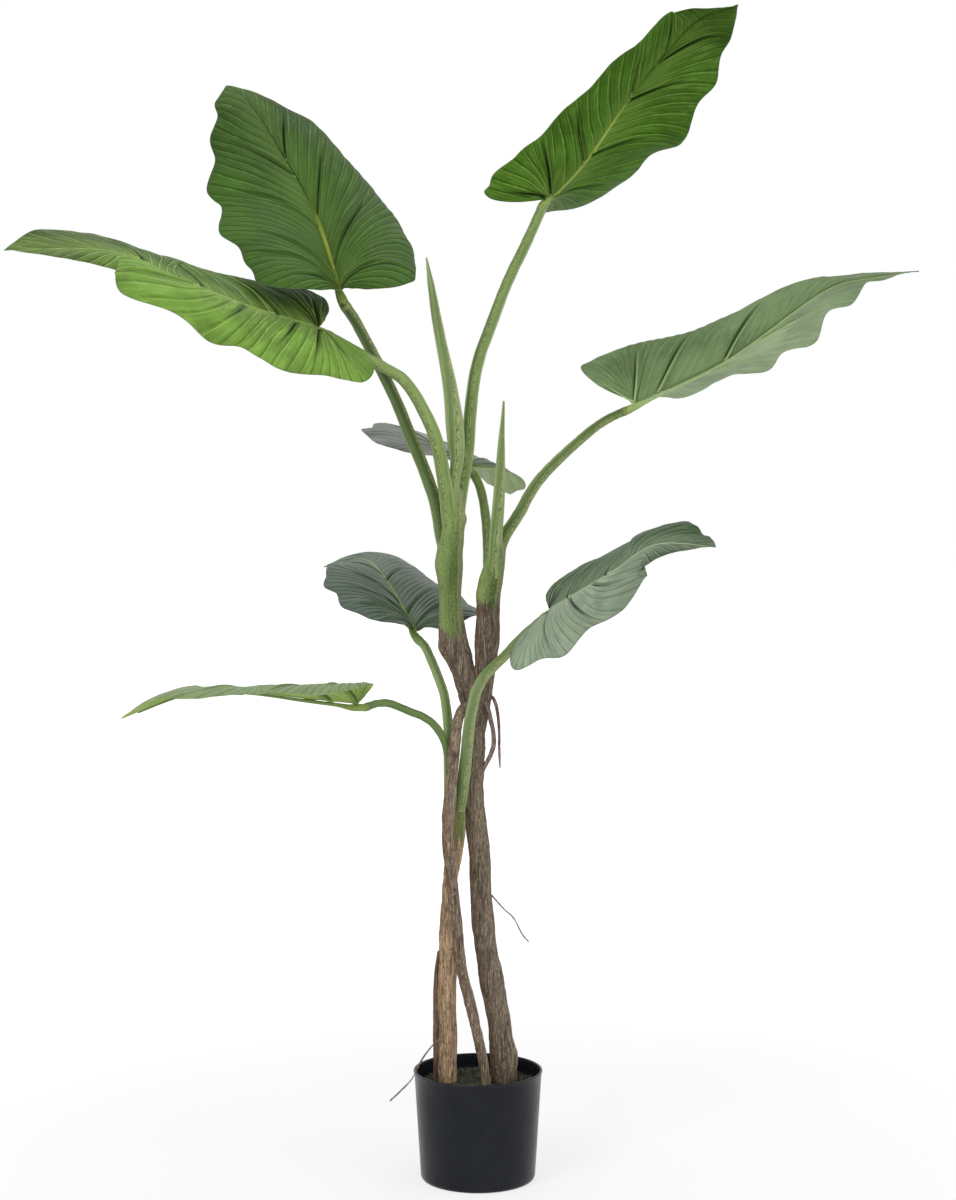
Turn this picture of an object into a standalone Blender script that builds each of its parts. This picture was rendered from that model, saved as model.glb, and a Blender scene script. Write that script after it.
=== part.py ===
"""Potted philodendron: eight sheet leaves on moulded stalks, two trunks with roots, in a black nursery pot.
Metres, +Z up, origin at the middle of the pot's underside. Right is +X, front is -Y."""
import math

import bmesh
import bpy
import numpy as np

# ---- driving dimensions ----
POT_HEIGHT = 0.150
POT_RIM_RADIUS = 0.0875
POT_FOOT_RADIUS = 0.0775
POT_WALL = 0.0024
POT_LIP_DROP = 0.006
SOIL_TOP = 0.131
FIT_GAP = 0.00035
BLADE_THICK = 0.0012
RIB_START_RADIUS = 0.0032
RIB_END_RADIUS = 0.0008
RIB_CLEAR = 0.0007
ROUND_STEPS = 72
BLADE_STEPS_ALONG = 20
BLADE_STEPS_ACROSS = 5

# One half of a leaf laid flat, from the notch round the lobe to the tip: across and along, per unit length.
HALF_OUTLINE = [(0.045, -0.035), (0.100, -0.085), (0.165, -0.100), (0.225, -0.045), (0.258, 0.060),
                (0.268, 0.180), (0.262, 0.320), (0.240, 0.460), (0.205, 0.600), (0.158, 0.740),
                (0.100, 0.860), (0.045, 0.945), (0.0, 1.0)]
LOBE_SHARE = 0.36
NOTCH_DEPTH = 0.030
VEIN_FAN = math.radians(10)
VEIN_START_POWER = 1.45
HALF_WIDTH = 0.26
# Dips in the margin and folds across the left and right halves, as shares of the outline, notch to tip.
DIPS = {-1: [0.16, 0.34, 0.50, 0.66, 0.82], 1: [0.22, 0.42, 0.58, 0.75]}
FOLDS = {-1: [0.20, 0.44, 0.62, 0.76, 0.88], 1: [0.25, 0.53, 0.69, 0.83]}

# Each leaf: the spine from its joint to its tip, the way its top side faces at the joint, middle and tip,
# how steeply each half leaves the spine and meets the margin (degrees, joint to tip), breadth, wave height,
# scallop depth and lobe length of each half, and its stalk from the trunk outwards with start and end radius.
LEAVES = {
    "top_left": dict(
        spine=[(-0.180, -0.038, 1.195), (-0.221, 0.090, 1.307), (-0.272, 0.173, 1.396),
               (-0.322, 0.240, 1.472), (-0.359, 0.292, 1.502)],
        face=[(-0.22, -0.68, 0.70), (0.03, -0.73, 0.68), (0.08, -0.45, 0.89)],
        left=([80, 11, -17], [-1, -8, -21]), right=([57, 24, -5], [-69, -68, -74]),
        broad=1.08, wave=(0.008, 0.000), scallop=(-0.01, 0.12), lobes=(0.9, 1.1),
        stalk=[(-0.043, 0.000, 0.852), (-0.050, -0.003, 0.880), (-0.056, -0.006, 0.916),
               (-0.071, -0.010, 0.961), (-0.091, -0.010, 1.010), (-0.115, -0.013, 1.068),
               (-0.160, -0.022, 1.156)],
        radii=(0.0098, 0.0068)),
    "far_left": dict(
        spine=[(-0.203, -0.045, 1.148), (-0.291, -0.126, 1.175), (-0.372, -0.199, 1.208),
               (-0.457, -0.198, 1.242), (-0.569, -0.272, 1.243)],
        face=[(0.35, -0.07, 0.93), (0.34, 0.09, 0.94), (0.24, -0.35, 0.91)],
        left=([-4, -5, 12], [-47, -81, -20]), right=([38, 18, 7], [-11, -9, -15]),
        broad=0.94, wave=(0.000, 0.010), scallop=(0.10, 0.09), lobes=(1.05, 0.7),
        stalk=[(-0.036, -0.004, 0.870), (-0.040, -0.014, 0.909), (-0.044, -0.020, 0.943),
               (-0.058, -0.024, 1.010), (-0.090, -0.030, 1.072), (-0.116, -0.033, 1.093),
               (-0.155, -0.033, 1.116)],
        radii=(0.0120, 0.0060)),
    "top_right": dict(
        spine=[(0.097, 0.152, 1.325), (0.150, 0.158, 1.358), (0.221, 0.163, 1.472), (0.300, 0.183, 1.571),
               (0.342, 0.090, 1.588)],
        face=[(0.30, -0.90, -0.32), (0.31, -0.94, -0.11), (-0.74, -0.43, -0.51)],
        left=([14, 54, 65], [-8, 25, 22]), right=([-69, 18, -13], [-67, -43, -19]),
        broad=0.91, wave=(0.004, 0.000), scallop=(0.05, 0.04), lobes=(1.15, 0.2),
        stalk=[(-0.031, 0.004, 0.862), (-0.030, 0.008, 0.882), (-0.023, 0.009, 0.934),
               (-0.014, 0.013, 0.989), (-0.009, 0.032, 1.051), (0.000, 0.056, 1.106),
               (0.019, 0.084, 1.160), (0.041, 0.110, 1.217), (0.069, 0.135, 1.275)],
        radii=(0.0115, 0.0065)),
    "right": dict(
        spine=[(0.207, 0.080, 1.049), (0.331, 0.047, 1.109), (0.454, -0.004, 1.199),
               (0.509, -0.037, 1.216), (0.574, -0.059, 1.224)],
        face=[(-0.29, 0.45, 0.84), (-0.28, 0.46, 0.84), (-0.09, 0.13, 0.99)],
        left=([40, 17, 8], [10, -14, -28]), right=([69, 17, -11], [-24, -32, -14]),
        broad=1.03, wave=(0.000, 0.007), scallop=(0.07, 0.13), lobes=(0.5, 0.8),
        stalk=[(0.023, 0.000, 0.815), (0.026, 0.004, 0.842), (0.035, 0.010, 0.872), (0.054, 0.020, 0.901),
               (0.077, 0.030, 0.941), (0.112, 0.048, 0.978), (0.166, 0.068, 1.023)],
        radii=(0.0098, 0.0053)),
    "back": dict(
        spine=[(-0.011, 0.080, 0.965), (-0.049, 0.176, 0.983), (-0.072, 0.278, 0.996),
               (-0.080, 0.382, 1.001), (-0.073, 0.487, 0.999)],
        face=[(0.00, -0.20, 0.98), (0.10, -0.10, 0.99), (0.20, 0.00, 0.98)],
        left=([40, 25, 15], [-10, -20, -30]), right=([15, 5, -5], [-80, -75, -70]),
        broad=0.97, wave=(0.009, 0.009), scallop=(0.05, 0.05), lobes=(1.0, 1.0),
        stalk=[(0.015, 0.004, 0.812), (0.014, 0.010, 0.828), (0.013, 0.024, 0.860), (0.010, 0.044, 0.900),
               (0.002, 0.062, 0.938)],
        radii=(0.0080, 0.0058)),
    "low_right": dict(
        spine=[(0.092, -0.030, 0.776), (0.169, -0.206, 0.841), (0.221, -0.240, 0.877),
               (0.288, -0.326, 0.880)],
        face=[(-0.58, 0.05, 0.81), (-0.59, -0.34, 0.74), (-0.07, -0.03, 1.00)],
        left=([41, 11, 15], [-21, -30, -37]), right=([-7, 14, 3], [-29, -65, -69]),
        broad=1.00, wave=(0.006, 0.010), scallop=(0.12, 0.00), lobes=(1.0, 1.0),
        stalk=[(-0.026, -0.021, 0.508), (-0.022, -0.026, 0.531), (-0.017, -0.034, 0.570),
               (-0.011, -0.038, 0.629), (-0.005, -0.038, 0.658), (0.001, -0.036, 0.678),
               (0.013, -0.030, 0.694), (0.037, -0.014, 0.716), (0.061, -0.012, 0.742)],
        radii=(0.0100, 0.0055)),
    "mid_left": dict(
        spine=[(-0.085, 0.055, 0.741), (-0.136, 0.250, 0.803), (-0.173, 0.390, 0.819),
               (-0.230, 0.400, 0.807)],
        face=[(0.07, -0.28, 0.96), (-0.04, -0.05, 1.00), (-0.27, -0.44, 0.85)],
        left=([57, 34, 5], [-31, -15, -70]), right=([51, 4, -18], [-27, -40, -81]),
        broad=0.93, wave=(0.002, 0.005), scallop=(0.08, 0.04), lobes=(1.0, 1.0),
        stalk=[(-0.033, -0.016, 0.470), (-0.038, -0.014, 0.518), (-0.039, -0.010, 0.560),
               (-0.040, -0.004, 0.612), (-0.044, 0.002, 0.652), (-0.052, 0.012, 0.679),
               (-0.072, 0.038, 0.722)],
        radii=(0.0085, 0.0055)),
    "low_left": dict(
        spine=[(-0.153, -0.088, 0.660), (-0.229, -0.091, 0.668), (-0.297, -0.099, 0.677),
               (-0.372, -0.126, 0.679), (-0.455, -0.096, 0.650)],
        face=[(0.10, 0.13, 0.99), (0.03, 0.18, 0.98), (-0.32, 0.02, 0.95)],
        left=([51, 15, 12], [-22, -30, -26]), right=([46, 1, 27], [-13, 0, 5]),
        broad=1.06, wave=(0.006, 0.008), scallop=(0.11, 0.08), lobes=(0.4, 0.3),
        stalk=[(-0.036, -0.024, 0.480), (-0.038, -0.028, 0.520), (-0.039, -0.030, 0.565),
               (-0.045, -0.033, 0.603), (-0.064, -0.044, 0.631), (-0.090, -0.056, 0.645),
               (-0.123, -0.074, 0.659)],
        radii=(0.0062, 0.0048)),
}

# Trunks, spears and roots: centre line and radii along it.
STEMS = {
    "main_trunk": dict(
        path=[(0.038, 0.000, 0.085), (0.033, 0.000, 0.176), (0.022, 0.000, 0.248), (0.008, 0.000, 0.341),
              (0.003, 0.000, 0.433), (-0.005, 0.000, 0.524), (-0.004, 0.000, 0.600),
              (-0.005, 0.000, 0.667)],
        radii=[0.0158, 0.0150, 0.0145, 0.0135, 0.0132, 0.0125]),
    "tall_branch": dict(
        path=[(-0.006, 0.000, 0.630), (-0.017, 0.000, 0.681), (-0.033, 0.000, 0.736),
              (-0.037, 0.000, 0.803), (-0.036, 0.000, 0.861), (-0.034, 0.000, 0.892)],
        radii=[0.0110, 0.0155, 0.0165, 0.0158, 0.0158, 0.0145]),
    "short_branch": dict(
        path=[(-0.003, 0.000, 0.600), (0.007, 0.000, 0.654), (0.011, 0.000, 0.708), (0.013, 0.000, 0.759),
              (0.017, 0.000, 0.810), (0.020, 0.000, 0.834)],
        radii=[0.0100, 0.0115, 0.0145, 0.0148, 0.0148, 0.0125]),
    "low_trunk": dict(
        path=[(-0.042, 0.000, 0.090), (-0.042, -0.004, 0.181), (-0.042, -0.010, 0.277),
              (-0.038, -0.016, 0.398), (-0.031, -0.020, 0.454), (-0.026, -0.021, 0.500)],
        radii=[0.0120, 0.0122, 0.0118, 0.0112, 0.0110, 0.0105]),
    "climbing_root": dict(
        path=[(0.014, -0.014, 0.100), (0.007, -0.020, 0.168), (-0.008, -0.027, 0.236),
              (-0.022, -0.034, 0.296), (-0.030, -0.037, 0.372), (-0.038, -0.040, 0.447),
              (-0.041, -0.045, 0.491), (-0.039, -0.043, 0.570), (-0.031, -0.036, 0.624),
              (-0.024, -0.024, 0.642), (-0.016, -0.010, 0.648)],
        radii=[0.0068, 0.0065, 0.0062, 0.0062, 0.0065, 0.0060]),
    "side_root": dict(
        path=[(-0.0590, 0.002, 0.105), (-0.0588, -0.002, 0.180), (-0.0585, -0.008, 0.270),
              (-0.0565, -0.012, 0.330)],
        radii=[0.0024, 0.0023, 0.0012]),
    "aerial_root_loop": dict(
        path=[(0.000, -0.008, 0.662), (0.012, -0.012, 0.648), (0.017, -0.012, 0.627),
              (0.021, -0.011, 0.607), (0.019, -0.010, 0.587), (0.005, -0.008, 0.556)],
        radii=[0.0036, 0.0036, 0.0030]),
    "aerial_root_hanging": dict(
        path=[(0.008, -0.004, 0.658), (0.020, -0.006, 0.657), (0.0265, -0.007, 0.636),
              (0.0285, -0.008, 0.607), (0.0285, -0.008, 0.591), (0.0295, -0.008, 0.563)],
        radii=[0.0024, 0.0022, 0.0008]),
    "thin_root_right": dict(
        path=[(0.012, 0.000, 0.396), (0.034, -0.006, 0.372), (0.048, -0.008, 0.359), (0.059, -0.008, 0.338),
              (0.068, -0.008, 0.327)],
        radii=[0.0009, 0.0007]),
    "thin_root_left": dict(
        path=[(-0.048, -0.010, 0.198), (-0.062, -0.026, 0.188), (-0.076, -0.040, 0.172),
              (-0.088, -0.062, 0.153), (-0.105, -0.080, 0.139), (-0.116, -0.090, 0.131)],
        radii=[0.0009, 0.0007]),
    "spear_tall": dict(
        path=[(-0.032, -0.008, 0.872), (-0.033, -0.010, 0.935), (-0.028, -0.010, 0.974),
              (-0.029, -0.010, 0.998), (-0.032, -0.010, 1.035), (-0.039, -0.010, 1.083),
              (-0.053, -0.010, 1.152), (-0.060, -0.010, 1.194), (-0.070, -0.010, 1.250)],
        radii=[0.0080, 0.0095, 0.0110, 0.0120, 0.0118, 0.0088, 0.0060, 0.0044, 0.0012]),
    "spear_short": dict(
        path=[(0.022, -0.006, 0.820), (0.024, -0.008, 0.875), (0.028, -0.008, 0.929),
              (0.031, -0.008, 0.998), (0.034, -0.008, 1.053)],
        radii=[0.0095, 0.0090, 0.0075, 0.0048, 0.0015]),
}

MATERIALS = {
    "leaf_sheet": ((0.075, 0.165, 0.035, 1), 0.45), "leaf_rib": ((0.200, 0.270, 0.090, 1), 0.50),
    "stalk_skin": ((0.130, 0.210, 0.050, 1), 0.50), "bark_main": ((0.120, 0.100, 0.065, 1), 0.80),
    "bark_tan": ((0.250, 0.170, 0.110, 1), 0.80), "root_bark": ((0.110, 0.080, 0.060, 1), 0.85),
    "spear_skin": ((0.200, 0.300, 0.110, 1), 0.50), "soil_mix": ((0.040, 0.042, 0.035, 1), 0.95),
    "pot_plastic": ((0.016, 0.017, 0.019, 1), 0.35),
}


# ---- curves and sweeps ----
def unit(vectors):
    vectors = np.asarray(vectors, float)
    return vectors / np.linalg.norm(vectors, axis=-1, keepdims=True)


def even_curve(points, count):
    """Smooth curve through the points, as count evenly spaced positions."""
    p = np.array(points, float)
    p = np.vstack([2 * p[0] - p[1], p, 2 * p[-1] - p[-2]])
    t = np.linspace(0, len(p) - 3, 400)
    k = np.minimum(t.astype(int), len(p) - 4)
    f = (t - k)[:, None]
    a, b, c, d = p[k], p[k + 1], p[k + 2], p[k + 3]
    fine = 0.5 * (2 * b + (c - a) * f + (2 * a - 5 * b + 4 * c - d) * f ** 2
                  + (3 * b - a - 3 * c + d) * f ** 3)
    run = np.concatenate([[0], np.cumsum(np.linalg.norm(np.diff(fine, axis=0), axis=1))])
    at = np.linspace(0, run[-1], count)
    return np.stack([np.interp(at, run, fine[:, i]) for i in range(fine.shape[1])], 1), run[-1]


def along(values, share):
    """Value at a share (0 to 1) of an evenly spaced list, for numbers or vectors."""
    values = np.asarray(values, float)
    x = np.clip(share, 0, 1) * (len(values) - 1)
    i = np.minimum(x.astype(int), len(values) - 2)
    f = x - i
    if values.ndim == 2:
        f = f[..., None]
    return values[i] * (1 - f) + values[i + 1] * f


def sweep(path, radii, sides, grow=0.0, dome=True):
    """Closed tube round an even path; grow adds that much all over, dome rounds its far end."""
    tangent = unit(np.gradient(path, axis=0))
    path, radii = np.array(path), np.array(radii, float) + grow
    path[0] -= tangent[0] * grow
    path[-1] += tangent[-1] * grow
    if dome:
        tip, width = path[-1].copy(), radii[-1]
        for reach, share in ((0.35, 0.92), (0.62, 0.72), (0.80, 0.42)):
            path = np.vstack([path, tip + tangent[-1] * width * reach])
            radii = np.append(radii, width * share)
        tangent = np.vstack([tangent, np.repeat(tangent[-1:], 3, 0)])
    side = unit(np.cross(tangent[0], (0.31, -1.0, 0.23)))
    verts, faces = [], []
    for centre, ahead, radius in zip(path, tangent, radii):
        side = unit(side - side.dot(ahead) * ahead)
        up = np.cross(ahead, side)
        for k in range(sides):
            turn = 2 * math.pi * k / sides
            verts.append(centre + (side * math.cos(turn) + up * math.sin(turn)) * radius)
    for i in range(len(path) - 1):
        for k in range(sides):
            n = (k + 1) % sides
            faces.append((i * sides + k, i * sides + n, (i + 1) * sides + n, (i + 1) * sides + k))
    last = (len(path) - 1) * sides
    faces.append(tuple(range(sides))[::-1])
    faces.append(tuple(range(last, last + sides)))
    return verts, faces


# ---- leaf surface ----
OUTLINE_FINE = even_curve([(x, y, 0) for x, y in HALF_OUTLINE], 400)[0]


def flat_leaf(vein, reach):
    """Flat place (across, along) on a half leaf: vein runs from notch to tip, reach from spine to margin."""
    edge = along(OUTLINE_FINE[:, :2], vein)
    late = np.clip((vein - LOBE_SHARE) / (1 - LOBE_SHARE), 0, 1)
    root = np.stack([np.zeros_like(vein), NOTCH_DEPTH + (1 - NOTCH_DEPTH) * late ** VEIN_START_POWER], -1)
    gap = edge - root
    turned = np.stack([gap[..., 0] * math.cos(VEIN_FAN) + gap[..., 1] * math.sin(VEIN_FAN),
                       gap[..., 1] * math.cos(VEIN_FAN) - gap[..., 0] * math.sin(VEIN_FAN)], -1)
    r = reach[..., None]
    flat = (1 - r) ** 2 * root + 2 * (1 - r) * r * (root + 0.5 * turned) + r ** 2 * edge
    return flat[..., 0], flat[..., 1]


def spine_frame(leaf, share):
    """Place, forward, up and sideways at a share of the spine; shares below 0 run on behind the joint."""
    spine, length = even_curve(leaf["spine"], 101)
    forward = unit(along(unit(np.gradient(spine, axis=0)), share))
    face = along(leaf["face"], share)
    up = unit(face - (face * forward).sum(-1, keepdims=True) * forward)
    place = along(spine, share) + forward * (np.minimum(share, 0) * length)[..., None]
    return place, forward, up, np.cross(forward, up), length


def leaf_points(leaf, side, vein, reach):
    """Places on the left (-1) or right (1) half of a leaf in space."""
    half = max(side, 0)
    across, share = flat_leaf(vein, reach)
    share = np.where(share < 0, share * leaf["lobes"][half], share)
    place, _, up, sideways, length = spine_frame(leaf, share)
    marks = DIPS[side]
    count = np.interp(vein, [0.0] + marks + [1.0], [-0.55] + list(range(len(marks))) + [len(marks) - 0.35])
    bulge = np.sqrt(np.sin(math.pi * count) ** 2 + 0.02)
    width = across * length * leaf["broad"] * (1 + leaf["scallop"][half] * (bulge - 0.8) * reach ** 3)
    rise, edge = leaf["right"] if half else leaf["left"]
    start, end = np.radians(along(rise, share)), np.radians(along(edge, share))
    bend = (end - start) / (HALF_WIDTH * length)
    bend = np.where(np.abs(bend) < 1e-4, 1e-4, bend)
    slope = start + bend * width
    out = (np.sin(slope) - np.sin(start)) / bend
    lift = (np.cos(start) - np.cos(slope)) / bend
    normal = up * np.cos(slope)[..., None] - sideways * (side * np.sin(slope))[..., None]
    ripple = leaf["wave"][half] * reach ** 1.6 * (bulge - 0.65)
    return place + sideways * (side * out)[..., None] + up * lift[..., None] + normal * ripple[..., None]


def blade_mesh(leaf, steps_along, steps_across):
    """Open sheet of both halves; the halves share the spine."""
    v, u = np.meshgrid(np.linspace(0, 1, steps_along + 1), np.linspace(0, 1, steps_across + 1), indexing="ij")
    verts, faces = [], []
    for side in (-1, 1):
        start = len(verts)
        verts.extend(leaf_points(leaf, side, v, u).reshape(-1, 3))
        for i in range(steps_along):
            for j in range(steps_across):
                a = start + i * (steps_across + 1) + j
                quad = (a, a + 1, a + steps_across + 2, a + steps_across + 1)
                faces.append(quad[::-1] if side < 0 else quad)
    return verts, faces


def rib_and_stalk_paths(leaf):
    """One line from the trunk up the stalk and on under the spine, parted at the leaf's joint."""
    share = np.linspace(0.0, 0.93, 12)
    place, _, up, sideways, _ = spine_frame(leaf, share)
    left, right = (np.radians(along(leaf[half][0], share)) for half in ("left", "right"))
    lean, steep = (right - left) / 2, np.minimum((right + left) / 2, math.radians(65))
    below = sideways * np.sin(lean)[:, None] - up * np.cos(lean)[:, None]
    radii = RIB_START_RADIUS + (RIB_END_RADIUS - RIB_START_RADIUS) * share ** 0.7
    under = place + below * ((radii + BLADE_THICK / 2 + RIB_CLEAR) / np.cos(steep))[:, None]
    line = even_curve(list(leaf["stalk"]) + [tuple(p) for p in under], 600)[0]
    joint = int(np.argmin(np.linalg.norm(line - under[0], axis=1))) - 6
    start = line[joint] + unit(line[joint + 1] - line[joint]) * FIT_GAP
    stalk_line = even_curve(np.vstack([line[:joint:6], line[joint]]), 16)[0]
    rib_line = even_curve(np.vstack([start, line[joint + 6::6]]), 18)[0]
    return stalk_line, rib_line


# ---- objects ----
def new_object(name, verts, faces, collection):
    mesh = bpy.data.meshes.new(name)
    mesh.from_pydata([tuple(map(float, p)) for p in verts], [], faces)
    work = bmesh.new()
    work.from_mesh(mesh)
    bmesh.ops.remove_doubles(work, verts=work.verts, dist=1e-6)
    bmesh.ops.dissolve_degenerate(work, dist=1e-6, edges=work.edges)
    bmesh.ops.recalc_face_normals(work, faces=work.faces)
    work.to_mesh(mesh)
    work.free()
    thing = bpy.data.objects.new(name, mesh)
    collection.objects.link(thing)
    return thing


def give_material(thing, name):
    colour, rough = MATERIALS[name]
    material = bpy.data.materials.new(name)
    material.use_nodes = True
    shader = material.node_tree.nodes["Principled BSDF"]
    shader.inputs["Base Color"].default_value = colour
    shader.inputs["Roughness"].default_value = rough
    thing.data.materials.clear()
    thing.data.materials.append(material)


def apply_modifiers(thing):
    graph = bpy.context.evaluated_depsgraph_get()
    mesh = bpy.data.meshes.new_from_object(thing.evaluated_get(graph))
    thing.modifiers.clear()
    thing.data = mesh


def combine(thing, tool, operation):
    step = thing.modifiers.new(operation.lower(), "BOOLEAN")
    step.operation, step.solver, step.object = operation, "EXACT", tool
    apply_modifiers(thing)


def keep_largest(thing):
    """Drop the scraps a cut leaves loose, keeping the piece with the most corners."""
    work = bmesh.new()
    work.from_mesh(thing.data)
    bmesh.ops.remove_doubles(work, verts=work.verts, dist=1e-5)
    bmesh.ops.dissolve_degenerate(work, dist=1e-5, edges=work.edges)
    seen, groups = set(), []
    for first in work.verts:
        if first in seen:
            continue
        group, queue = [], [first]
        seen.add(first)
        while queue:
            vert = queue.pop()
            group.append(vert)
            for edge in vert.link_edges:
                other = edge.other_vert(vert)
                if other not in seen:
                    seen.add(other)
                    queue.append(other)
        groups.append(group)
    groups.sort(key=len)
    for group in groups[:-1]:
        bmesh.ops.delete(work, geom=group, context="VERTS")
    bmesh.ops.triangulate(work, faces=work.faces)
    work.to_mesh(thing.data)
    work.free()


def shade_round(thing, angle=40):
    for polygon in thing.data.polygons:
        polygon.use_smooth = True
    thing.data.set_sharp_from_angle(angle=math.radians(angle))


def stem_object(name, spec, steps, sides, collection, grow=0.0):
    path = even_curve(spec["path"], steps)[0]
    radii = along(spec["radii"], np.linspace(0, 1, steps))
    return new_object(name, *sweep(path, radii, sides, grow), collection)


def blade_object(name, leaf, thickness, collection):
    blade = new_object(name, *blade_mesh(leaf, BLADE_STEPS_ALONG, BLADE_STEPS_ACROSS), collection)
    sheet = blade.modifiers.new("sheet", "SOLIDIFY")
    sheet.thickness, sheet.offset = thickness, 0.0
    apply_modifiers(blade)
    return blade


def turned_object(name, profile, collection):
    """Solid of revolution about Z from a closed profile of (radius, height)."""
    verts, faces = [], []
    count = len(profile)
    for k in range(ROUND_STEPS):
        turn = 2 * math.pi * k / ROUND_STEPS
        verts.extend((r * math.cos(turn), r * math.sin(turn), z) for r, z in profile)
    for k in range(ROUND_STEPS):
        n = (k + 1) % ROUND_STEPS
        for i in range(count - 1):
            faces.append((k * count + i, n * count + i, n * count + i + 1, k * count + i + 1))
    return new_object(name, verts, faces, collection)


def pot_radius(z):
    return POT_FOOT_RADIUS + (POT_RIM_RADIUS - 0.0022 - POT_FOOT_RADIUS) * z / POT_HEIGHT


def make_pot(collection):
    lip = POT_HEIGHT - POT_LIP_DROP
    outer = [(0.0, 0.0), (POT_FOOT_RADIUS - 0.006, 0.0), (POT_FOOT_RADIUS - 0.0025, 0.0008),
             (POT_FOOT_RADIUS - 0.0006, 0.0030), (pot_radius(0.008), 0.008), (pot_radius(0.075), 0.075),
             (pot_radius(lip), lip), (POT_RIM_RADIUS - 0.0004, lip + 0.0010), (POT_RIM_RADIUS, lip + 0.0030),
             (POT_RIM_RADIUS - 0.0006, POT_HEIGHT - 0.0006), (POT_RIM_RADIUS - 0.0020, POT_HEIGHT)]
    inner = [(pot_radius(POT_HEIGHT) - POT_WALL + 0.0006, POT_HEIGHT - 0.0004),
             (pot_radius(POT_HEIGHT) - POT_WALL, POT_HEIGHT - 0.0020), (pot_radius(0.075) - POT_WALL, 0.075),
             (pot_radius(0.010) - POT_WALL, 0.010), (pot_radius(0.006) - POT_WALL - 0.003, 0.0052),
             (0.0, 0.0052)]
    return turned_object("pot", outer + inner, collection)


def make_soil(collection):
    """Cement-weighted fill with a low uneven mound round the trunks."""
    gap = POT_WALL + FIT_GAP
    edge = pot_radius(SOIL_TOP) - gap
    profile = [(0.0, 0.0056), (pot_radius(0.006) - gap - 0.004, 0.0056),
               (pot_radius(0.010) - gap - 0.0006, 0.0104), (pot_radius(0.075) - gap, 0.075),
               (edge, SOIL_TOP - 0.0020), (edge - 0.010, SOIL_TOP),
               (edge * 0.62, SOIL_TOP + 0.0020), (edge * 0.34, SOIL_TOP + 0.0030), (0.0, SOIL_TOP + 0.0032)]
    soil = turned_object("soil", profile, collection)
    for vert in soil.data.vertices:
        x, y, z = vert.co
        if z > SOIL_TOP - 0.001:
            vert.co.z = z + 0.0012 * math.sin(90 * x + 1.0) * math.cos(75 * y)
    return soil


def clear_scene():
    for thing in list(bpy.data.objects):
        bpy.data.objects.remove(thing)
    for group in list(bpy.data.collections):
        bpy.data.collections.remove(group)


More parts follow.
